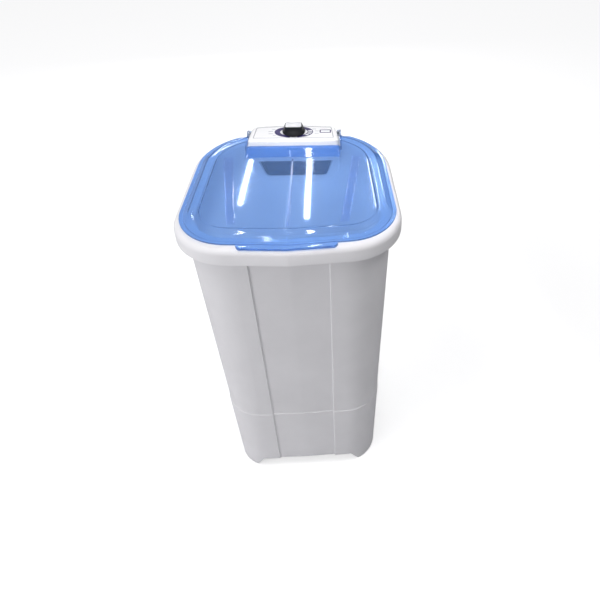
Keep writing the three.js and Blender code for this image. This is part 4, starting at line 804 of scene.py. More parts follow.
@dataclass
class Cabinet:
    """Tapered wall with its recessed front panel, ledge, lip and four feet."""

    pad: float = 3.0
    wall: float = 3.5
    skirt_foot: float = 812.0
    top: float = 847.7
    ledge: float = 254.0
    ledge_step: float = 2.1
    ledge_rise: float = 2.6
    lip: float = 816.0
    lip_thickness: float = 3.0
    lip_inset: float = 4.3
    panel_top: float = 90.0
    panel_foot: float = 80.0
    panel_depth: float = 3.5
    panel_ramp: float = 2.5
    foot_x: float = 151.0
    foot_y: float = 150.0
    plinth: float = 38.0
    plinth_run: float = 26.0
    skirting: float = 20.0

    def wall_at(self, z: np.ndarray | float, inset: float) -> np.ndarray:
        """Ring of the wall: each point goes straight from the foot outline to the top outline.

        Args:
            z: Height of the ring, or of each of its points.
            inset: How far it is moved inwards.

        Returns:
            The ring's points.
        """
        low = CABINET_FOOT.panelled(inset, self.panel_foot, self.panel_depth, self.panel_ramp)
        high = CABINET_TOP.panelled(inset, self.panel_top, self.panel_depth, self.panel_ramp)
        share = np.broadcast_to(np.asarray(z, float) / self.skirt_foot, len(low))[:, None]
        return raised(low + (high - low) * share, z)

    def foot_line(self) -> np.ndarray:
        """Lower edge of the wall: it rises from each foot by a mix of a smooth and a straight step.

        Returns:
            Its height at each point of a ring.
        """
        ring = self.wall_at(0.0, 0.0)
        gap = np.maximum(self.foot_x - np.abs(ring[:, 0]), self.foot_y - np.abs(ring[:, 1]))
        late, straight = 0.1, 0.45
        ramp = np.clip((gap / self.plinth_run - late) / (1 - late), 0, 1)
        return self.pad + (self.plinth - self.pad) * ((1 - straight) * smooth(ramp) + straight * ramp)

    def shape(self) -> Shape:
        """Wall from its lower edge up to the rim, and down again inside: rings at heights and insets.

        Returns:
            A closed shape.
        """
        foot, top = self.foot_line(), self.ledge + self.ledge_rise
        step, inner = self.ledge_step, self.ledge_step + self.wall
        lip_plan = RIM.panelled(self.lip_inset, self.panel_top, 0, self.panel_ramp)
        lip_top = self.lip + self.lip_thickness
        outer = [(foot, 0.9), (foot + 0.4, 0.3), (foot + 1.2, 0), (foot + self.skirting, 0), (90, 0),
                 (150, 0), (self.ledge - 3, 0), (self.ledge - 0.5, 0), (self.ledge + 0.3, 0.2),
                 (self.ledge + 1, step / 2), (top - 0.3, step - 0.2), (top + 0.5, step), (top + 4, step),
                 (360, step), (500, step), (650, step), (self.lip, step)]
        inside = [(self.top, step), (self.top, inner), (top, inner), (self.ledge, self.wall),
                  (foot + self.skirting, self.wall), (foot, self.wall - 0.6)]
        lip = [raised(lip_plan, self.lip), raised(lip_plan, lip_top), self.wall_at(lip_top, step)]
        outer, inside = ([self.wall_at(*place) for place in side] for side in (outer, inside))
        return skin(outer + lip + inside, loop=True)

    def build(self) -> None:
        """Makes the wall."""
        finished("cabinet_wall", self.shape(), "frame", CABINET_WHITE, ("cabinet",),
                 angle=28)


@dataclass
class Tub:
    """Rolled rim, skirt, basin and recess as one moulding, with the rear apron and filter pocket."""

    rim_top: float = 852.0
    skirt_height: float = 40.0
    skirt_wall: float = 4.0
    rim_round: float = 14.0
    deck: float = 36.0
    mouth_round: float = 8.0
    wall: float = 4.0
    floor: float = 370.0
    floor_round: float = 28.0
    recess: float = 140.0
    recess_depth: float = 18.0
    recess_round: float = 5.0
    hub: float = 10.0
    hub_hole: float = 22.0
    apron_top: float = 120.0
    apron_foot: float = 117.0
    apron_nose: float = 160.0
    apron_nose_depth: float = 7.0
    apron_face: float = 178.0
    apron_fall: float = 16.0
    apron_lean: float = 27 / 123
    apron_low: float = 722.0
    apron_arch: float = 9.0
    apron_back: float = 214.0
    slot_top: float = 803.0
    slot_foot: float = 749.0
    slot_half_top: float = 99.0
    slot_half_foot: float = 81.0
    slot_round: float = 13.0
    pocket_back: float = 222.0
    pocket_wall: float = 3.0
    well_half: tuple[float, float] = (34.0, 24.5)
    well_y: float = 213.5
    well_depth: float = 28.0

    def circle(self, radius: float, z: float) -> np.ndarray:
        """Circle whose points lie in the same directions as those of the floor outline."""
        outline = BASIN_FLOOR.outline()
        return raised(radius * unit(np.arctan2(outline[:, 1], outline[:, 0])), z)

    def shape(self) -> Shape:
        """Section carried round the plan, from the hub out over the rim and back under the basin.

        Its rings are circles in the recess, the floor's outline in the basin and the rim's outline
        above, and quarter rounds join them.

        Returns:
            A closed shape.
        """
        top, floor, wall, skirt_wall = self.rim_top, self.floor, self.wall, self.skirt_wall
        mouth, brink, roll = self.rim_round + self.deck, self.mouth_round, self.rim_round
        round_off, start = self.floor_round, floor + self.floor_round
        bottom, skirt, small, lip = floor - self.recess_depth, top - self.skirt_height, self.recess_round, 3.0
        low, high = BASIN_FLOOR.outline(), RIM.outline(mouth)
        span = top - brink - start
        rim, ground, circle = RIM.ring, BASIN_FLOOR.ring, self.circle
        rows = [circle(self.hub_hole, bottom)]
        rows += swing(circle, (self.recess - small, bottom + small), (small, small), (-90, 0), 7)
        rows += swing(circle, (self.recess + lip, floor - lip), (lip, lip), (180, 90), 4)
        rows += swing(ground, (round_off, start), (round_off, round_off), (-90, -180), 7)
        rows += [raised(low + (high - low) * t, start + span * t) for t in (0.12, 0.3, 0.5, 0.7, 0.9)]
        rows += swing(rim, (mouth - brink, top - brink), (brink, brink), (0, 90), 7)
        rows += swing(rim, (roll, top - roll), (roll, roll), (90, 180), 10)
        rows += [rim(*place) for place in (
            (0, skirt + 3), (0.3, skirt + 0.8), (1.2, skirt), (skirt_wall, skirt),
            (skirt_wall, top - 2 * wall), (1.5 * skirt_wall, top - wall), (mouth - brink, top - wall),
            (mouth - wall, top - brink))]
        rows += swing(ground, (round_off - wall / 2, start), (round_off + wall / 2, round_off + wall),
                      (180, 270), 4)
        rows += [circle(*place) for place in (
            (self.recess + wall, floor - wall), (self.recess + wall, bottom - 5),
            (self.recess, bottom - self.hub), (self.hub_hole, bottom - self.hub))]
        return skin(rows, loop=True)

    def apron(self) -> Shape:
        """Leaning face under the console, with a nose at its top and an arched lower edge.

        The face is a grid over x and the way down. The lower edge lies at the low height plus the
        arch times the square of x over its half width, and both side edges turn back in a quarter
        round.

        Returns:
            A closed shape.
        """
        share = np.linspace(-1, 1, 81)
        share = np.sign(share) * (1 - (1 - np.abs(share)) ** 1.6)
        low = self.apron_low + self.apron_arch * share ** 2
        top, turn, foot_round, brow = self.rim_top - 0.2, 7.0, 4.0, 3.0
        nose, face = self.apron_nose, self.apron_face
        start, foot = top - self.apron_fall, low + foot_round

        def row(y: np.ndarray | float, z: np.ndarray | float) -> np.ndarray:
            """Row of the grid at one place or one place for each x."""
            return np.column_stack([share, y + 0 * share, z + 0 * share])

        def face_y(z: np.ndarray) -> np.ndarray:
            """Leaning face: how far back it lies at a height."""
            return face + (start - z) * self.apron_lean

        rows = swing(row, (nose + brow, top - brow), (brow, brow), (90, 180), 6)
        rows += [row(y, z) for y, z in (
            (nose, top - self.apron_nose_depth), (nose + 1.2, top - self.apron_nose_depth - 1.5),
            (face - 2.2, start + 1.2), (face, start - 1))]
        for t in np.linspace(0.1, 1, 10):
            z = start * (1 - t) + foot * t
            rows.append(row(face_y(z), z))
        rows += swing(row, (face_y(foot) + foot_round, foot), (foot_round, foot_round), (180, 270), 6)[1:]
        rows += [row(self.apron_back, low), row(self.apron_back, top)]
        grid = np.array(rows)
        half = self.apron_foot + (self.apron_top - self.apron_foot) * (grid[..., 2] - low) / (top - low)
        x = grid[..., 0] * half
        over = np.clip(np.abs(x) - (half - turn), 0, turn)
        front = grid[..., 1] < self.apron_back - turn
        grid[..., 1] += np.where(front, turn - np.sqrt(turn ** 2 - over ** 2), 0)
        grid[..., 0] = x
        return skin(grid.transpose(1, 0, 2))

    def slot(self, grow: float, low: float, high: float) -> Shape:
        """Prism of the filter slot, wider at the top.

        Args:
            grow: How far it is moved outwards.
            low: Where it starts, going back.
            high: Where it ends.

        Returns:
            A closed shape.
        """
        foot, top = self.slot_half_foot, self.slot_half_top
        corners = [(-foot, self.slot_foot, self.slot_round), (foot, self.slot_foot, self.slot_round),
                   (top, self.slot_top, 1.5), (-top, self.slot_top, 1.5)]
        return plate(corners, low, high, 0.1, 0.1, Way.BACK, -grow)

    def build(self) -> None:
        """Makes the tub, its apron and its pocket."""
        slot = self.slot(0, self.apron_nose - 5, self.pocket_back)
        well = plate(box_corners(*self.well_half, 1, 0, self.well_y), self.rim_top - self.well_depth,
                     self.rim_top + 5)
        finished("tub_shell", self.shape(), "frame", RIM_WHITE, ("tub",), [slot, well], 28)
        finished("tub_apron", self.apron(), "frame", RIM_WHITE, (), [slot, well], 28)
        pocket = self.slot(self.pocket_wall, self.apron_face + 30, self.pocket_back + self.pocket_wall)
        # The pocket, part of the white tub, is dark navy: painted shade of the recess behind the slot
        finished("filter_pocket", pocket, "frame", SLOT_SHADE_NAVY, (),
                 [self.slot(0, self.apron_nose, self.pocket_back)])


CONSOLE_PLAN = [(-117, 157, 8), (117, 157, 8), (109, 236, 18), (0, 247, 120), (-109, 236, 18)]
DIAL = (0.0, 200.0)


@dataclass
class Console:
    """White housing over the rear of the rim, with its film, its printed dial and its knob."""

    base: float = 852.3
    top: float = 882.0
    wall: float = 3.0
    edge: float = 4.0
    film_inset: float = 6.0
    film_base: float = 882.3
    film_top: float = 883.5
    ring_half: tuple[float, float] = (50.0, 30.0)
    ring_inner: tuple[float, float] = (36.0, 23.0)
    ring_base: float = 883.8
    ring_top: float = 884.6
    shaft_hole: float = 5.0
    knob_base: float = 884.9
    knob_top: float = 904.9
    knob_radius: float = 29.5
    bar_half: tuple[float, float] = (23.0, 16.0)
    bar_round: float = 7.0
    plate_inset: float = 2.0
    plate_gap: float = 0.3
    plate_depth: float = 1.6
    plate_top: float = 905.9
    notch_half: tuple[float, float] = (1.3, 3.4)
    notch_depth: float = 0.8
    line: float = 1.6
    ink_depth: float = 0.2
    ink_rise: float = 0.06
    border_gap: float = 6.0
    key_half: tuple[float, float] = (15.0, 8.5)
    key_place: tuple[float, float] = (82.0, 203.0)
    arcs: tuple = ((20, 86), (94, 150), (151.5, 205), (206.5, 258), (282, 316))
    window: tuple[float, float] = (317.0, 379.0)
    steps: tuple = (331, 346, 361)
    step_turn: float = 1.6
    leaders: tuple = ((28, 9), (8, 12), (-14, 12), (152, 9), (172, 12), (194, 12), (214, 8))
    leader_start: tuple[float, float] = (55.0, 33.0)
    leader_half: float = 0.55

    def housing(self) -> None:
        """Makes the housing, hollow from below."""
        body = plate(CONSOLE_PLAN, self.base, self.top, 0.6, self.edge, arc=10)
        cutters = [plate(CONSOLE_PLAN, self.base - 2, self.top - self.wall, 0.2, 2, inset=self.wall),
                   rod(self.shaft_hole, self.top - self.wall - 1, self.top + 2, *DIAL)]
        finished("console_body", body, "frame", CONSOLE_WHITE, ("console_housing",),
                 cutters)

    def arc(self, start: float, end: float, out: float = 1.0, inner: float = 0.0) -> Shape:
        """Flat band of the dial between two angles, counter-clockwise from the right.

        Args:
            start: First angle in degrees.
            end: Last angle, less than a whole turn on.
            out: Share of the way from the inner to the outer ellipse where the band ends.
            inner: Share of the way where it starts.

        Returns:
            A closed band. Its edges are the points of two ellipses between the dial's own two.
        """
        ray = unit(np.radians(np.linspace(start, end, max(int(abs(end - start) / 3), 2) + 1)))
        near, far = np.array(self.ring_inner), np.array(self.ring_half)
        inside, outside = (ray * (near + (far - near) * share) + DIAL for share in (inner, out))
        low, high = self.ring_base, self.ring_top
        rows = [raised(inside, low), raised(outside, low), raised(outside, high), raised(inside, high)]
        return skin(np.array(rows).transpose(1, 0, 2))

    def ink(self) -> tuple[float, float]:
        """Underside and top of what is printed on the film."""
        return self.film_top - self.ink_depth, self.film_top + self.ink_rise

    def frame_line(self, corners: list, inset: float, width: float) -> Shape:
        """Printed line that follows an outline: a band between two insets.

        Args:
            corners: The outline's corners.
            inset: How far inwards the line starts.
            width: Its width.

        Returns:
            A closed shape.
        """
        low, high = self.ink()
        outer, inner = bend(corners, inset, 8), bend(corners, inset + width, 8)
        return skin([raised(inner, low), raised(outer, low), raised(outer, high), raised(inner, high)],
                    loop=True)

    def film(self) -> None:
        """Makes the film and what is printed on it."""
        film = plate(CONSOLE_PLAN, self.film_base, self.film_top, 0.2, 0.5, inset=self.film_inset, arc=10)
        finished("fascia_film", film, "frame", FASCIA_FILM, ("console_fascia",))
        bands = [self.arc(*turn) for turn in self.arcs]
        bands += [self.arc(*self.window, 1, 0.9), self.arc(*self.window, 0.1)]
        bands += [self.arc(start, start + self.step_turn, 0.92, 0.08) for start in self.steps]
        finished("dial_print", joined(bands), "frame", INDIGO_INK, ("dial_ring",))
        border = self.frame_line(CONSOLE_PLAN, self.film_inset + self.border_gap, self.line)
        finished("film_border", border, "frame", GREY_INK)
        key = self.frame_line(box_corners(*self.key_half, 3, *self.key_place), 0, 2 * self.line)
        finished("film_key", joined([key] + self.marks()), "frame", INDIGO_INK)

    def marks(self) -> list[Shape]:
        """Leader lines at both sides of the dial: strokes that start on an ellipse round it.

        Returns:
            One shape for each.
        """
        strokes = []
        for angle, length in self.leaders:
            turn = math.radians(angle)
            x, y = self.leader_start[0] * math.cos(turn), DIAL[1] + self.leader_start[1] * math.sin(turn)
            x += math.copysign(length / 2, x)
            corners = box_corners(length / 2, self.leader_half, 0.4, x, y)
            strokes.append(plate(corners, *self.ink(), 0.05, 0.05))
        return strokes

    def knob(self) -> None:
        """Makes the knob, a round skirt that narrows to a bar, and the plate on it.

        Each ring is the circle moved towards the bar's outline by a share, at a share of the height,
        and moved inwards a little.
        """
        bar = bend(box_corners(*self.bar_half, self.bar_round), 0, 10, 10)
        circle = self.knob_radius * unit(np.arctan2(bar[:, 1], bar[:, 0]))
        height = self.knob_top - self.knob_base
        path = [(0, 0.0, 0.6), (0, 0.02, 0.15), (0, 0.04, 0), (0, 0.14, 0), (0.02, 0.17, 0), (0.1, 0.2, 0),
                (0.3, 0.26, 0), (0.52, 0.36, 0), (0.72, 0.5, 0), (0.88, 0.68, 0), (0.97, 0.84, 0),
                (1, 0.93, 0), (1, 0.97, 0.3), (1, 1.0, 1.1)]
        rows = []
        for share, rise, inset in path:
            ring = circle + (bar - circle) * share
            ring *= 1 - inset / np.linalg.norm(ring, axis=1, keepdims=True)
            rows.append(raised(ring + DIAL, self.knob_base + height * rise))
        half = np.array(self.bar_half) - self.plate_inset
        round_off, low = self.bar_round - self.plate_inset, self.knob_top - self.plate_depth
        pocket = plate(box_corners(*half, round_off, *DIAL), low - self.plate_gap, self.knob_top + 2)
        finished("knob_body", skin(rows), "timer_knob", KNOB_BLACK, ("timer_knob",), [pocket])
        half -= self.plate_gap
        badge = plate(box_corners(*half, round_off - self.plate_gap, *DIAL), low, self.plate_top, 0.1, 0.6,
                      arc=8)
        notch = plate(box_corners(*self.notch_half, 0.5, DIAL[0], DIAL[1] + half[1]),
                      self.plate_top - self.notch_depth, self.plate_top + 1)
        finished("knob_plate", badge, "timer_knob", BRUSHED_FOIL, ("knob_insert",), [notch])

    def build(self) -> None:
        """Makes the housing, the film and the knob."""
        self.housing()
        self.film()
        self.knob()


@dataclass
class Lid:
    """Tinted lid: flange, sloped wall, raised panel, ramp to the console, ribs, grip and hinge ears."""

    base: float = 852.3
    wall: float = 3.0
    flange: float = 8.0
    brow: float = 20.0
    shoulder: float = 864.0
    crown: float = 868.0
    fall: float = 3.0
    band: float = 22.0
    panel_rise: float = 2.2
    panel_start: float = 60.0
    notch_half: float = 119.8
    notch_front: float = 153.0
    trim_back: float = 225.0
    ramp_start: float = 100.0
    ramp_half: float = 119.3
    ramp_rise: float = 1.5
    grip_half: float = 108.0
    grip_thickness: float = 6.0
    grip_depth: float = 26.0
    grip_round: float = 9.0
    trim_inner: float = 120.5
    ear: tuple = ((153, 852.6, 1), (222, 852.6, 1), (234, 856.5, 8.5), (234, 874.6, 8.5), (217, 874.6, 8.5),
                  (204, 864.2, 8), (153, 864.2, 1))
    ear_x: tuple[float, float] = (119.8, 124.0)
    boss_x: tuple[float, float] = (112.4, 120.2)
    boss_radius: float = 8.6
    hinge: tuple[float, float] = (225.0, 866.0)
    skin_gap: float = 0.06
    rib_run: tuple[float, float] = (-176.0, 104.0)
    rib_start: float = 123.5
    rib_flare: float = 37.0
    rib_half: float = 9.5
    rib_growth: float = 2.0
    rib_rise: float = 0.35
    middle_run: tuple[float, float] = (-188.0, 98.0)
    middle_half: float = 3.0
    middle_rise: float = 0.5

    def sag(self, x: np.ndarray, y: np.ndarray) -> np.ndarray:
        """How far the crown lies below its middle: the sum of both squares, over the plan's halves."""
        return self.fall * ((x / LID_PLAN.half_front) ** 2 + (y / LID_PLAN.front) ** 2)

    def rows(self, corners: list, spread: int) -> list[np.ndarray]:
        """Rings along a rounded path of inset and height, which follows the crown from the shoulder in.

        Args:
            corners: Rows of inset, height and rounding, from the edge to the panel.
            spread: Points on each straight part of the path.

        Returns:
            Rings from the edge to the middle.
        """
        arc = 7
        keep = arc + 1 + spread
        far_below = (90.0, 700.0, 0)
        path = bend(corners + [far_below], 0, arc, spread)
        made = []
        for inset, z in path[arc:(len(corners) - 1) * keep]:
            ring = LID_PLAN.outline(inset)
            share = smooth((inset - self.brow) / self.band)
            made.append(raised(ring, z - share * self.sag(ring[:, 0], ring[:, 1])))
        ring, z = LID_PLAN.outline(corners[-1][0]), corners[-1][1]
        for share in np.linspace(1, 0.02, 20):
            inner = ring * share
            made.append(raised(inner, z - self.sag(inner[:, 0], inner[:, 1])))
        return made

    def shell(self) -> Shape:
        """Outer surface from the middle to the edge, and the inner one back to the middle.

        Returns:
            A closed shape.
        """
        step, wall, base, shoulder = self.panel_rise, self.wall, self.base, self.shoulder
        foot, edge, low = self.flange + wall, self.brow + self.band, self.crown - wall
        outer = self.rows([
            (0.01, base, 0.2), (0, base + wall, 1.0), (self.flange, base + wall, 2.0),
            (self.brow + 1, shoulder, 8.0), (edge, self.crown - step, 1.2),
            (edge + step, self.crown, 1.2), (self.panel_start, self.crown + 0.01, 0)], 2)
        inner = self.rows([
            (foot, base, 0.2), (foot + 0.5, base + 0.8, 0.6), (self.brow + 2.5, shoulder - wall, 7.0),
            (edge + 1.5, low - step, 1.0), (edge + step + 1.5, low, 1.0),
            (self.panel_start, low + 0.01, 0)], 1)
        return skin(outer[::-1] + inner)

    def sheet(self, x: np.ndarray, y: np.ndarray, z: np.ndarray) -> Shape:
        """Closed sheet over a grid, whose underside lies just over the crown.

        Args:
            x: The grid's x.
            y: Its y.
            z: Height of the top.

        Returns:
            A closed shape.
        """
        top = np.stack([x, y, z], -1)
        under = top[:, ::-1].copy()
        under[..., 2] = self.crown - self.sag(under[..., 0], under[..., 1]) + self.skin_gap
        return skin(np.concatenate([top, under], 1))

    def strip(self, y: np.ndarray, middle: np.ndarray, half: np.ndarray, rise: float) -> Shape:
        """Low rib on the crown: across it the height follows a flat-topped bump.

        Args:
            y: Places along the rib.
            middle: Its centre line's x at each place.
            half: Half its width at each place.
            rise: Its height.

        Returns:
            A closed strip, just over the crown.
        """
        across = np.linspace(-1, 1, 17)
        across = np.sign(across) * np.abs(across) ** 0.6
        x = middle[:, None] + half[:, None] * across
        run = np.minimum(np.arange(len(y)), np.arange(len(y))[::-1])[:, None]
        lift = self.skin_gap + 0.02 + rise * smooth((1 - np.abs(across)) / 0.2)[None, :] * smooth(run / 3)
        long = np.broadcast_to(y[:, None], x.shape)
        return self.sheet(x, long, self.crown - self.sag(x, long) + lift)

    def ramp(self) -> Shape:
        """Wedge from the crown to the console's front: it rises straight along y, and fades at its sides.

        Returns:
            A closed shape.
        """
        y = np.linspace(self.ramp_start, self.notch_front, 24)
        x = self.ramp_half * np.sin(np.linspace(-math.pi / 2, math.pi / 2, 41))
        rise = (y - self.ramp_start) / (self.notch_front - self.ramp_start)
        edge = smooth((self.ramp_half - np.abs(x)) / 3)
        surface = self.crown - self.sag(x[None, :], y[:, None])
        target = self.crown + self.ramp_rise
        z = surface + (target - surface) * rise[:, None] * edge[None, :] + 0.15
        return self.sheet(*np.broadcast_arrays(x[None, :], y[:, None], z))

    def grip(self) -> Shape:
        """Grip in front of the lid: a rounded section carried along the front of the rim.

        The section's depth is stretched between the lid's edge and the rim's, and its ends turn back
        with the square of the way into them.

        Returns:
            A closed shape.
        """
        x = np.linspace(-self.grip_half, self.grip_half, 61)
        edges = []
        for outline in (RIM.outline(3.0), LID_PLAN.outline(0.4)):
            front = outline[(outline[:, 1] < 0) & (np.abs(outline[:, 0]) < 150)]
            front = front[np.argsort(front[:, 0])]
            edges.append(np.interp(x, front[:, 0], front[:, 1]))
        front, back = edges
        front += self.grip_round * np.clip((np.abs(x) - self.grip_half) / self.grip_round + 1, 0, 1) ** 2
        low, high, deep = self.base, self.base + self.grip_thickness, self.grip_depth
        section = bend([(0, low, 0.6), (deep, low, 0.6), (deep, high - 2.0, 1.0), (0, high, 2.5)], 0, 5)
        y = front[:, None] + (back - front)[:, None] * section[None, :, 0] / deep
        return skin(np.stack(np.broadcast_arrays(x[:, None], y, section[None, :, 1]), -1))

    def cheek(self, side: Side) -> Shape:
        """Cheek beside the console that holds the hinge pin: a profile carried across, with a boss.

        Args:
            side: Left or right.

        Returns:
            A closed shape.
        """
        cheek, boss = (sorted(side.value * x for x in ends) for ends in (self.ear_x, self.boss_x))
        return joined([plate(list(self.ear), *cheek, 0.6, 0.6, Way.ACROSS),
                       rod(self.boss_radius, *boss, *self.hinge, Way.ACROSS, 40)])

    def build(self) -> None:
        """Makes the lid's shell and everything moulded on it."""
        ends, notch, wide, deep = (840, 880), 50, 70, 30
        cutters = [plate(box_corners(self.notch_half, notch, 2, 0, self.notch_front + notch), *ends)]
        for side in Side:
            middle = side.value * (self.trim_inner + wide)
            cutters.append(plate(box_corners(wide, deep, 1, middle, self.trim_back + deep), *ends))
        finished("lid_shell", self.shell(), "lid", LID_BLUE, ("lid",), cutters, 24)
        # The ramp takes the deeper blue that paints the shade under the console
        moulded = {"lid_ramp": (self.ramp(), LID_RAMP_SHADE)}
        y = np.linspace(*self.rib_run, 60)
        share = (y - y[0]) / (y[-1] - y[0])
        for side in Side:
            middle = side.value * (self.rib_start + self.rib_flare * share)
            rib = self.strip(y, middle, self.rib_half + self.rib_growth * share, self.rib_rise)
            moulded[f"lid_rib_{side.name.lower()}"] = (rib, LID_CLEAR)
            moulded[f"lid_ear_{side.name.lower()}"] = (self.cheek(side), LID_CLEAR)
        y = np.linspace(*self.middle_run, 60)
        middle = self.strip(y, 0 * y, self.middle_half + 0 * y, self.middle_rise)
        moulded["lid_rib_middle"] = (middle, LID_CLEAR)
        moulded["lid_grip"] = (self.grip(), LID_BLUE)
        for name, (shape, finish) in moulded.items():
            finished(name, shape, "lid", finish, angle=40)


@dataclass
class Agitator:
    """Crowned impeller disc with swept vanes, and its cap."""

    radius: float = 131.0
    foot: float = 356.0
    crown: float = 28.0
    edge: float = 6.0
    hub: float = 24.0
    bore: float = 7.3
    vanes: int = 6
    vane_inner: float = 30.0
    vane_outer: float = 124.0
    vane_rise: float = 16.0
    vane_sweep: float = 0.5
    vane_foot: float = 10.0
    vane_top: float = 3.5
    vane_end: float = 0.08
    cap: float = 21.0
    cap_base: float = 382.3
    cap_height: float = 9.0

    def disc(self) -> Shape:
        """Polar grid: the disc falls with the radius to the power 0.8, and each vane is a bump on it.

        A vane's centre line turns with the square of the way out, and its height is a half sine
        along it and a smooth step across it.

        Returns:
            A closed shape.
        """
        angle = around(360)[None, :]
        radius = np.concatenate([[self.bore, 12], np.linspace(20, 127, 46), [129, 130.4, self.radius]])
        radius = radius[:, None]
        top = self.foot + self.crown
        height = top + (self.foot + self.edge - top) * (radius / self.radius) ** 0.8
        share = np.clip((radius - self.vane_inner) / (self.vane_outer - self.vane_inner), 0, 1)
        pitch = 2 * math.pi / self.vanes
        turn = (angle - self.vane_sweep * share ** 2 + pitch / 2) % pitch - pitch / 2
        across = np.abs(turn) * radius
        ends = smooth(share / self.vane_end) * smooth((1 - share) / self.vane_end)
        swell = np.sin(math.pi * (0.1 + 0.8 * share)) * ends
        bump = self.vane_rise * swell * smooth((self.vane_foot - across) / (self.vane_foot - self.vane_top))
        flat = np.clip(height, None, top - 2) + bump
        flat[-1] = self.foot + self.edge / 2
        flat[-2] = np.minimum(flat[-2], self.foot + self.edge * 0.8)
        under = [(130.2, 0.6), (126, 0.3), (60, 0.6), (self.hub, 2), (self.hub, 0), (self.bore, 0)]
        ray = unit(angle[0])
        rows = [raised(r * ray, z) for r, z in zip(radius[:, 0], flat)]
        return skin(rows + [raised(r * ray, self.foot + rise) for r, rise in under], loop=True)

    def build(self) -> None:
        """Makes the disc and its cap."""
        finished("impeller_disc", self.disc(), "impeller", RIM_WHITE, ("impeller",),
                 angle=40)
        base, high = self.cap_base, self.cap_base + self.cap_height
        cap = turned([(0, base + 5, 0), (self.bore, base + 5, 0.3), (self.bore, base, 0.3),
                      (self.cap, base, 0.6), (self.cap - 0.6, base + 4, 3), (12, high - 0.8, 6),
                      (5, high - 0.8, 1), (4, high, 1), (0, high, 0)], 5)
        finished("impeller_dome", cap, "impeller", CAP_BLUE, ("impeller_cap",))


@dataclass
class DrainOutlet:
    """Spigot through the cabinet's rear wall: a pipe with a flange outside and three hose barbs."""

    place: tuple[float, float, float] = (-66.0, 218.91, 62.0)
    wall_tilt: float = 2.1875
    inside: float = 35.5
    outside: float = 22.0
    bore: float = 12.8
    sleeve: float = 14.4
    neck: float = 13.8
    barb: float = 15.0
    flange: float = 22.0
    flange_low: float = 0.6
    flange_high: float = 3.6
    barb_start: float = 6.2
    barb_pitch: float = 5.0

    def shape(self) -> Shape:
        """Profile turned about the pipe's axis: each barb rises steeply and slopes away from the wall.

        Returns:
            A closed shape.
        """
        barbs = []
        for index in range(3):
            start = self.barb_start + self.barb_pitch * index
            barbs += [(self.neck, start, 0.3), (self.barb, start + 0.5, 0.25)]
        profile = [(self.bore, -self.inside, 0.3), (self.sleeve, -self.inside, 0.5),
                   (self.sleeve, self.flange_low, 0.2), (self.flange, self.flange_low, 0.5),
                   (self.flange, self.flange_high, 1.0), (self.neck, self.flange_high, 1.4), *barbs,
                   (self.neck - 0.2, self.outside, 0.5), (self.bore, self.outside, 0.4)]
        tilt = Matrix.Rotation(math.radians(-90 - self.wall_tilt), 3, "X")
        return turned(profile).moved(self.place, tilt)

    def build(self) -> None:
        """Makes the outlet in place of its plain solid."""
        finished("drain_spigot", self.shape(), "frame", GREY_PLASTIC, ("drain_outlet",))


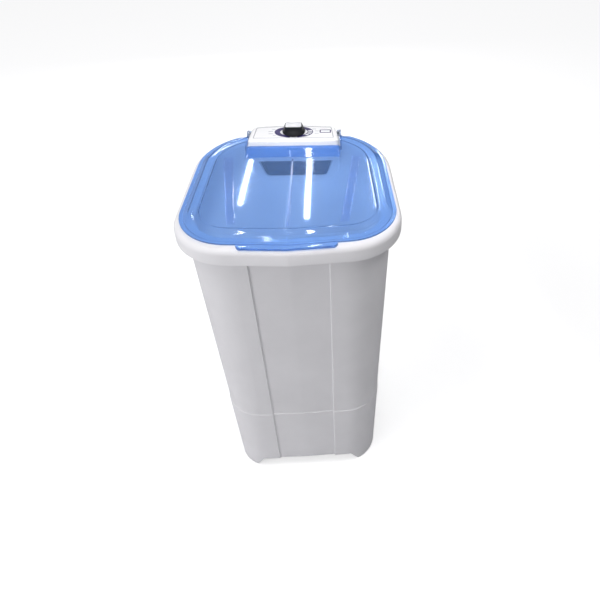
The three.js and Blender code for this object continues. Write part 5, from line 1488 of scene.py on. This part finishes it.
@dataclass
class Studio:
    """Camera at the photograph's viewing angle, pale floor, soft lamps, glowing tubes and a black card.

    Lamps: name, place, aim, size in metres, power in watts and, where narrower, spread in degrees.
    Tubes: name, x, near and far end, radius in millimetres and strength.
    Card: place, the point that it faces and size, in metres.
    """

    lens: float = 38.041
    shift: tuple[float, float] = (-0.1667, -0.0897)
    place: tuple[float, float, float] = (0.1107, -1.3042, 1.7028)
    turn: tuple[float, float, float] = (51.2428, -2.1342, -5.2774)
    tube_height: float = 2400.0
    floor_reach: float = 9000.0
    floor_lift: float = 0.6
    sky_light: float = 0.38
    card_place: tuple[float, float, float] = (0.78, 0.3, 0.63)
    card_aim: tuple[float, float, float] = (0, 0.1, 0.6)
    card_size: tuple[float, float] = (1.7, 0.84)
    lamps: tuple = (
        ("top_lamp", (-0.5, -0.3, 2.9), (0, 0, 0.8), (1.8, 1.8), 27),
        ("left_lamp", (-2.2, -1.5, 1.3), (0, 0, 0.5), (1.0, 1.8), 21.6),
        ("rear_lamp", (-0.4, 2.6, 1.2), (0, 0, 0.4), (1.2, 1.2), 11),
        ("console_lamp", (0.0, -1.0, 1.25), (0, 0.157, 0.885), (0.2, 0.2), 0.09, 20),
        ("right_lamp", (1.1, -0.3, 2.4), (0.27, 0, 0.85), (0.5, 0.5), 0.58, 30),
        # Stands for the light that the pale, slightly translucent tub lets through its wall
        ("basin_glow", (0, 0, 0.8), (0, 0, 0.4), (0.24, 0.24), 0.25))
    tubes: tuple = (
        ("tube_left", -537, 2020, 2760, 17, 22), ("tube_right", -72, 1800, 2740, 19, 22),
        ("tube_middle", -205, 1640, 2750, 5, 5), ("tube_front_left", -345, -1400, -300, 14, 14),
        ("tube_front_middle", -128, -1400, -300, 14, 14), ("tube_front_right", 285, -1400, -300, 14, 14),
        ("tube_far_right", 430, 1950, 2780, 19, 20))

    def camera(self) -> None:
        """Sets the camera."""
        data = bpy.data.cameras.new("camera")
        data.lens = self.lens
        data.sensor_width = 36.0
        data.shift_x, data.shift_y = self.shift
        data.clip_start, data.clip_end = 0.05, 60.0
        made = bpy.data.objects.new("camera", data)
        made.location = self.place
        made.rotation_euler = [math.radians(a) for a in self.turn]
        bpy.context.scene.collection.objects.link(made)
        bpy.context.scene.camera = made

    def facing(self, place: tuple, aim: tuple) -> Matrix:
        """Rotation whose Z axis points from the aim to the place, with its X axis level.

        Args:
            place: Where the thing hangs, in metres.
            aim: The point that its front faces.

        Returns:
            The rotation. Lamps shine along their negative Z axis, so they light the aim.
        """
        back = np.array(place, float) - np.array(aim, float)
        back /= np.linalg.norm(back)
        side = np.cross((0, 0.001, 1), back)
        side /= np.linalg.norm(side)
        return Matrix(np.column_stack([side, np.cross(back, side), back]).tolist())

    def lamp(self, name: str, place: tuple, aim: tuple, size: tuple[float, float], power: float,
             spread: float = 180.0) -> None:
        """Adds one soft rectangular lamp.

        Args:
            name: Its name.
            place: Where it hangs, in metres.
            aim: The point that it faces.
            size: Its width and height.
            power: Its power in watts.
            spread: The angle that its light fills, in degrees; a grid on the lamp makes it narrow.
        """
        data = bpy.data.lights.new(name, "AREA")
        data.shape = "RECTANGLE"
        data.size, data.size_y = size
        data.energy = power
        data.spread = math.radians(spread)
        made = bpy.data.objects.new(name, data)
        made.matrix_world = Matrix.LocRotScale(place, self.facing(place, aim).to_quaternion(), None)
        made.visible_transmission = made.visible_glossy = False
        bpy.context.scene.collection.objects.link(made)

    def prop(self, name: str, shape: Shape, strength: float) -> None:
        """Adds a studio piece that only the machine sees.

        Args:
            name: Its name.
            shape: Its surface.
            strength: How strongly it glows; at 0 it is black.
        """
        made = solid(name, shape)
        material = bpy.data.materials.new(name)
        tree = fresh(material)
        if strength:
            surface = add(tree, "ShaderNodeEmission", {"Color": linear("#FFFFFF"), "Strength": strength})
        else:
            surface = add(tree, "ShaderNodeBsdfDiffuse", {"Color": linear("#101010")})
        add(tree, "ShaderNodeOutputMaterial", {"Surface": surface.outputs[0]})
        made.data.materials.append(material)
        made.visible_camera = made.visible_shadow = False
        made.visible_diffuse = not strength

    def tube(self, name: str, x: float, near: float, far: float, radius: float, strength: float) -> None:
        """Adds a long glowing tube under the ceiling, which the lid mirrors."""
        corners = box_corners(radius, radius, radius, x, self.tube_height)
        self.prop(name, plate(corners, near, far, 5, 5, Way.BACK), strength)

    def card(self) -> None:
        """Adds the flat black card at the right, which darkens the side that looks at it."""
        board = plate(box_corners(*np.array(self.card_size) / MM / 2, 5), -5, 5, 1, 1)
        board = board.moved(np.array(self.card_place) / MM, self.facing(self.card_place, self.card_aim))
        self.prop("dark_card", board, 0)

    def floor(self) -> None:
        """Adds the pale floor: to the eye it is lifted towards white, and it keeps the shadow."""
        made = solid("floor", plate(box_corners(self.floor_reach, self.floor_reach, 10), -20, 0, 0.1, 0.1))
        material = bpy.data.materials.new("matt_floor")
        tree = fresh(material)
        ray = add(tree, "ShaderNodeLightPath")
        seen = add(tree, "ShaderNodeMath", {0: ray.outputs["Is Camera Ray"],
                                            1: ray.outputs["Is Transmission Ray"]}, operation="MAXIMUM")
        lift = add(tree, "ShaderNodeMath", {0: seen.outputs[0], 1: self.floor_lift}, operation="MULTIPLY")
        matt = add(tree, "ShaderNodeBsdfDiffuse", {"Color": linear("#E8E8EA")})
        glow = add(tree, "ShaderNodeEmission", {"Color": linear("#FFFFFF"), "Strength": lift.outputs[0]})
        both = add(tree, "ShaderNodeAddShader", {0: matt.outputs[0], 1: glow.outputs[0]})
        add(tree, "ShaderNodeOutputMaterial", {"Surface": both.outputs[0]})
        made.data.materials.append(material)

    def world(self) -> None:
        """Sets the pale surroundings: white where they are seen, softer where they light."""
        world = bpy.context.scene.world or bpy.data.worlds.new("world")
        bpy.context.scene.world = world
        tree = fresh(world)
        ray = add(tree, "ShaderNodeLightPath")
        level = add(tree, "ShaderNodeMapRange", {"Value": ray.outputs["Is Camera Ray"],
                                                 "To Min": self.sky_light, "To Max": 1.0})
        sky = add(tree, "ShaderNodeBackground", {"Color": linear("#FFFFFF"), "Strength": level.outputs[0]})
        add(tree, "ShaderNodeOutputWorld", {"Surface": sky.outputs[0]})

    def build(self) -> None:
        """Makes the whole studio."""
        self.world()
        self.floor()
        for lamp in self.lamps:
            self.lamp(*lamp)
        for tube in self.tubes:
            self.tube(*tube)
        self.card()


def main() -> None:
    """Builds the washing machine and its studio in order."""
    logging.basicConfig(level=logging.INFO, format="%(name)s %(message)s")
    # Only the frame's own objects stay
    for extra in [o for o in bpy.data.objects if "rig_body" not in o and not o.name.startswith("body:")]:
        bpy.data.objects.remove(extra)
    scene = bpy.context.scene
    scene.view_settings.view_transform = "Standard"
    studio = Studio()
    studio.camera()
    for part in (Cabinet(), Tub(), Console(), Lid(), Agitator(), DrainOutlet()):
        part.build()
    dress_frame()
    studio.build()
    bpy.context.view_layer.update()


if __name__ == "__main__":
    main()
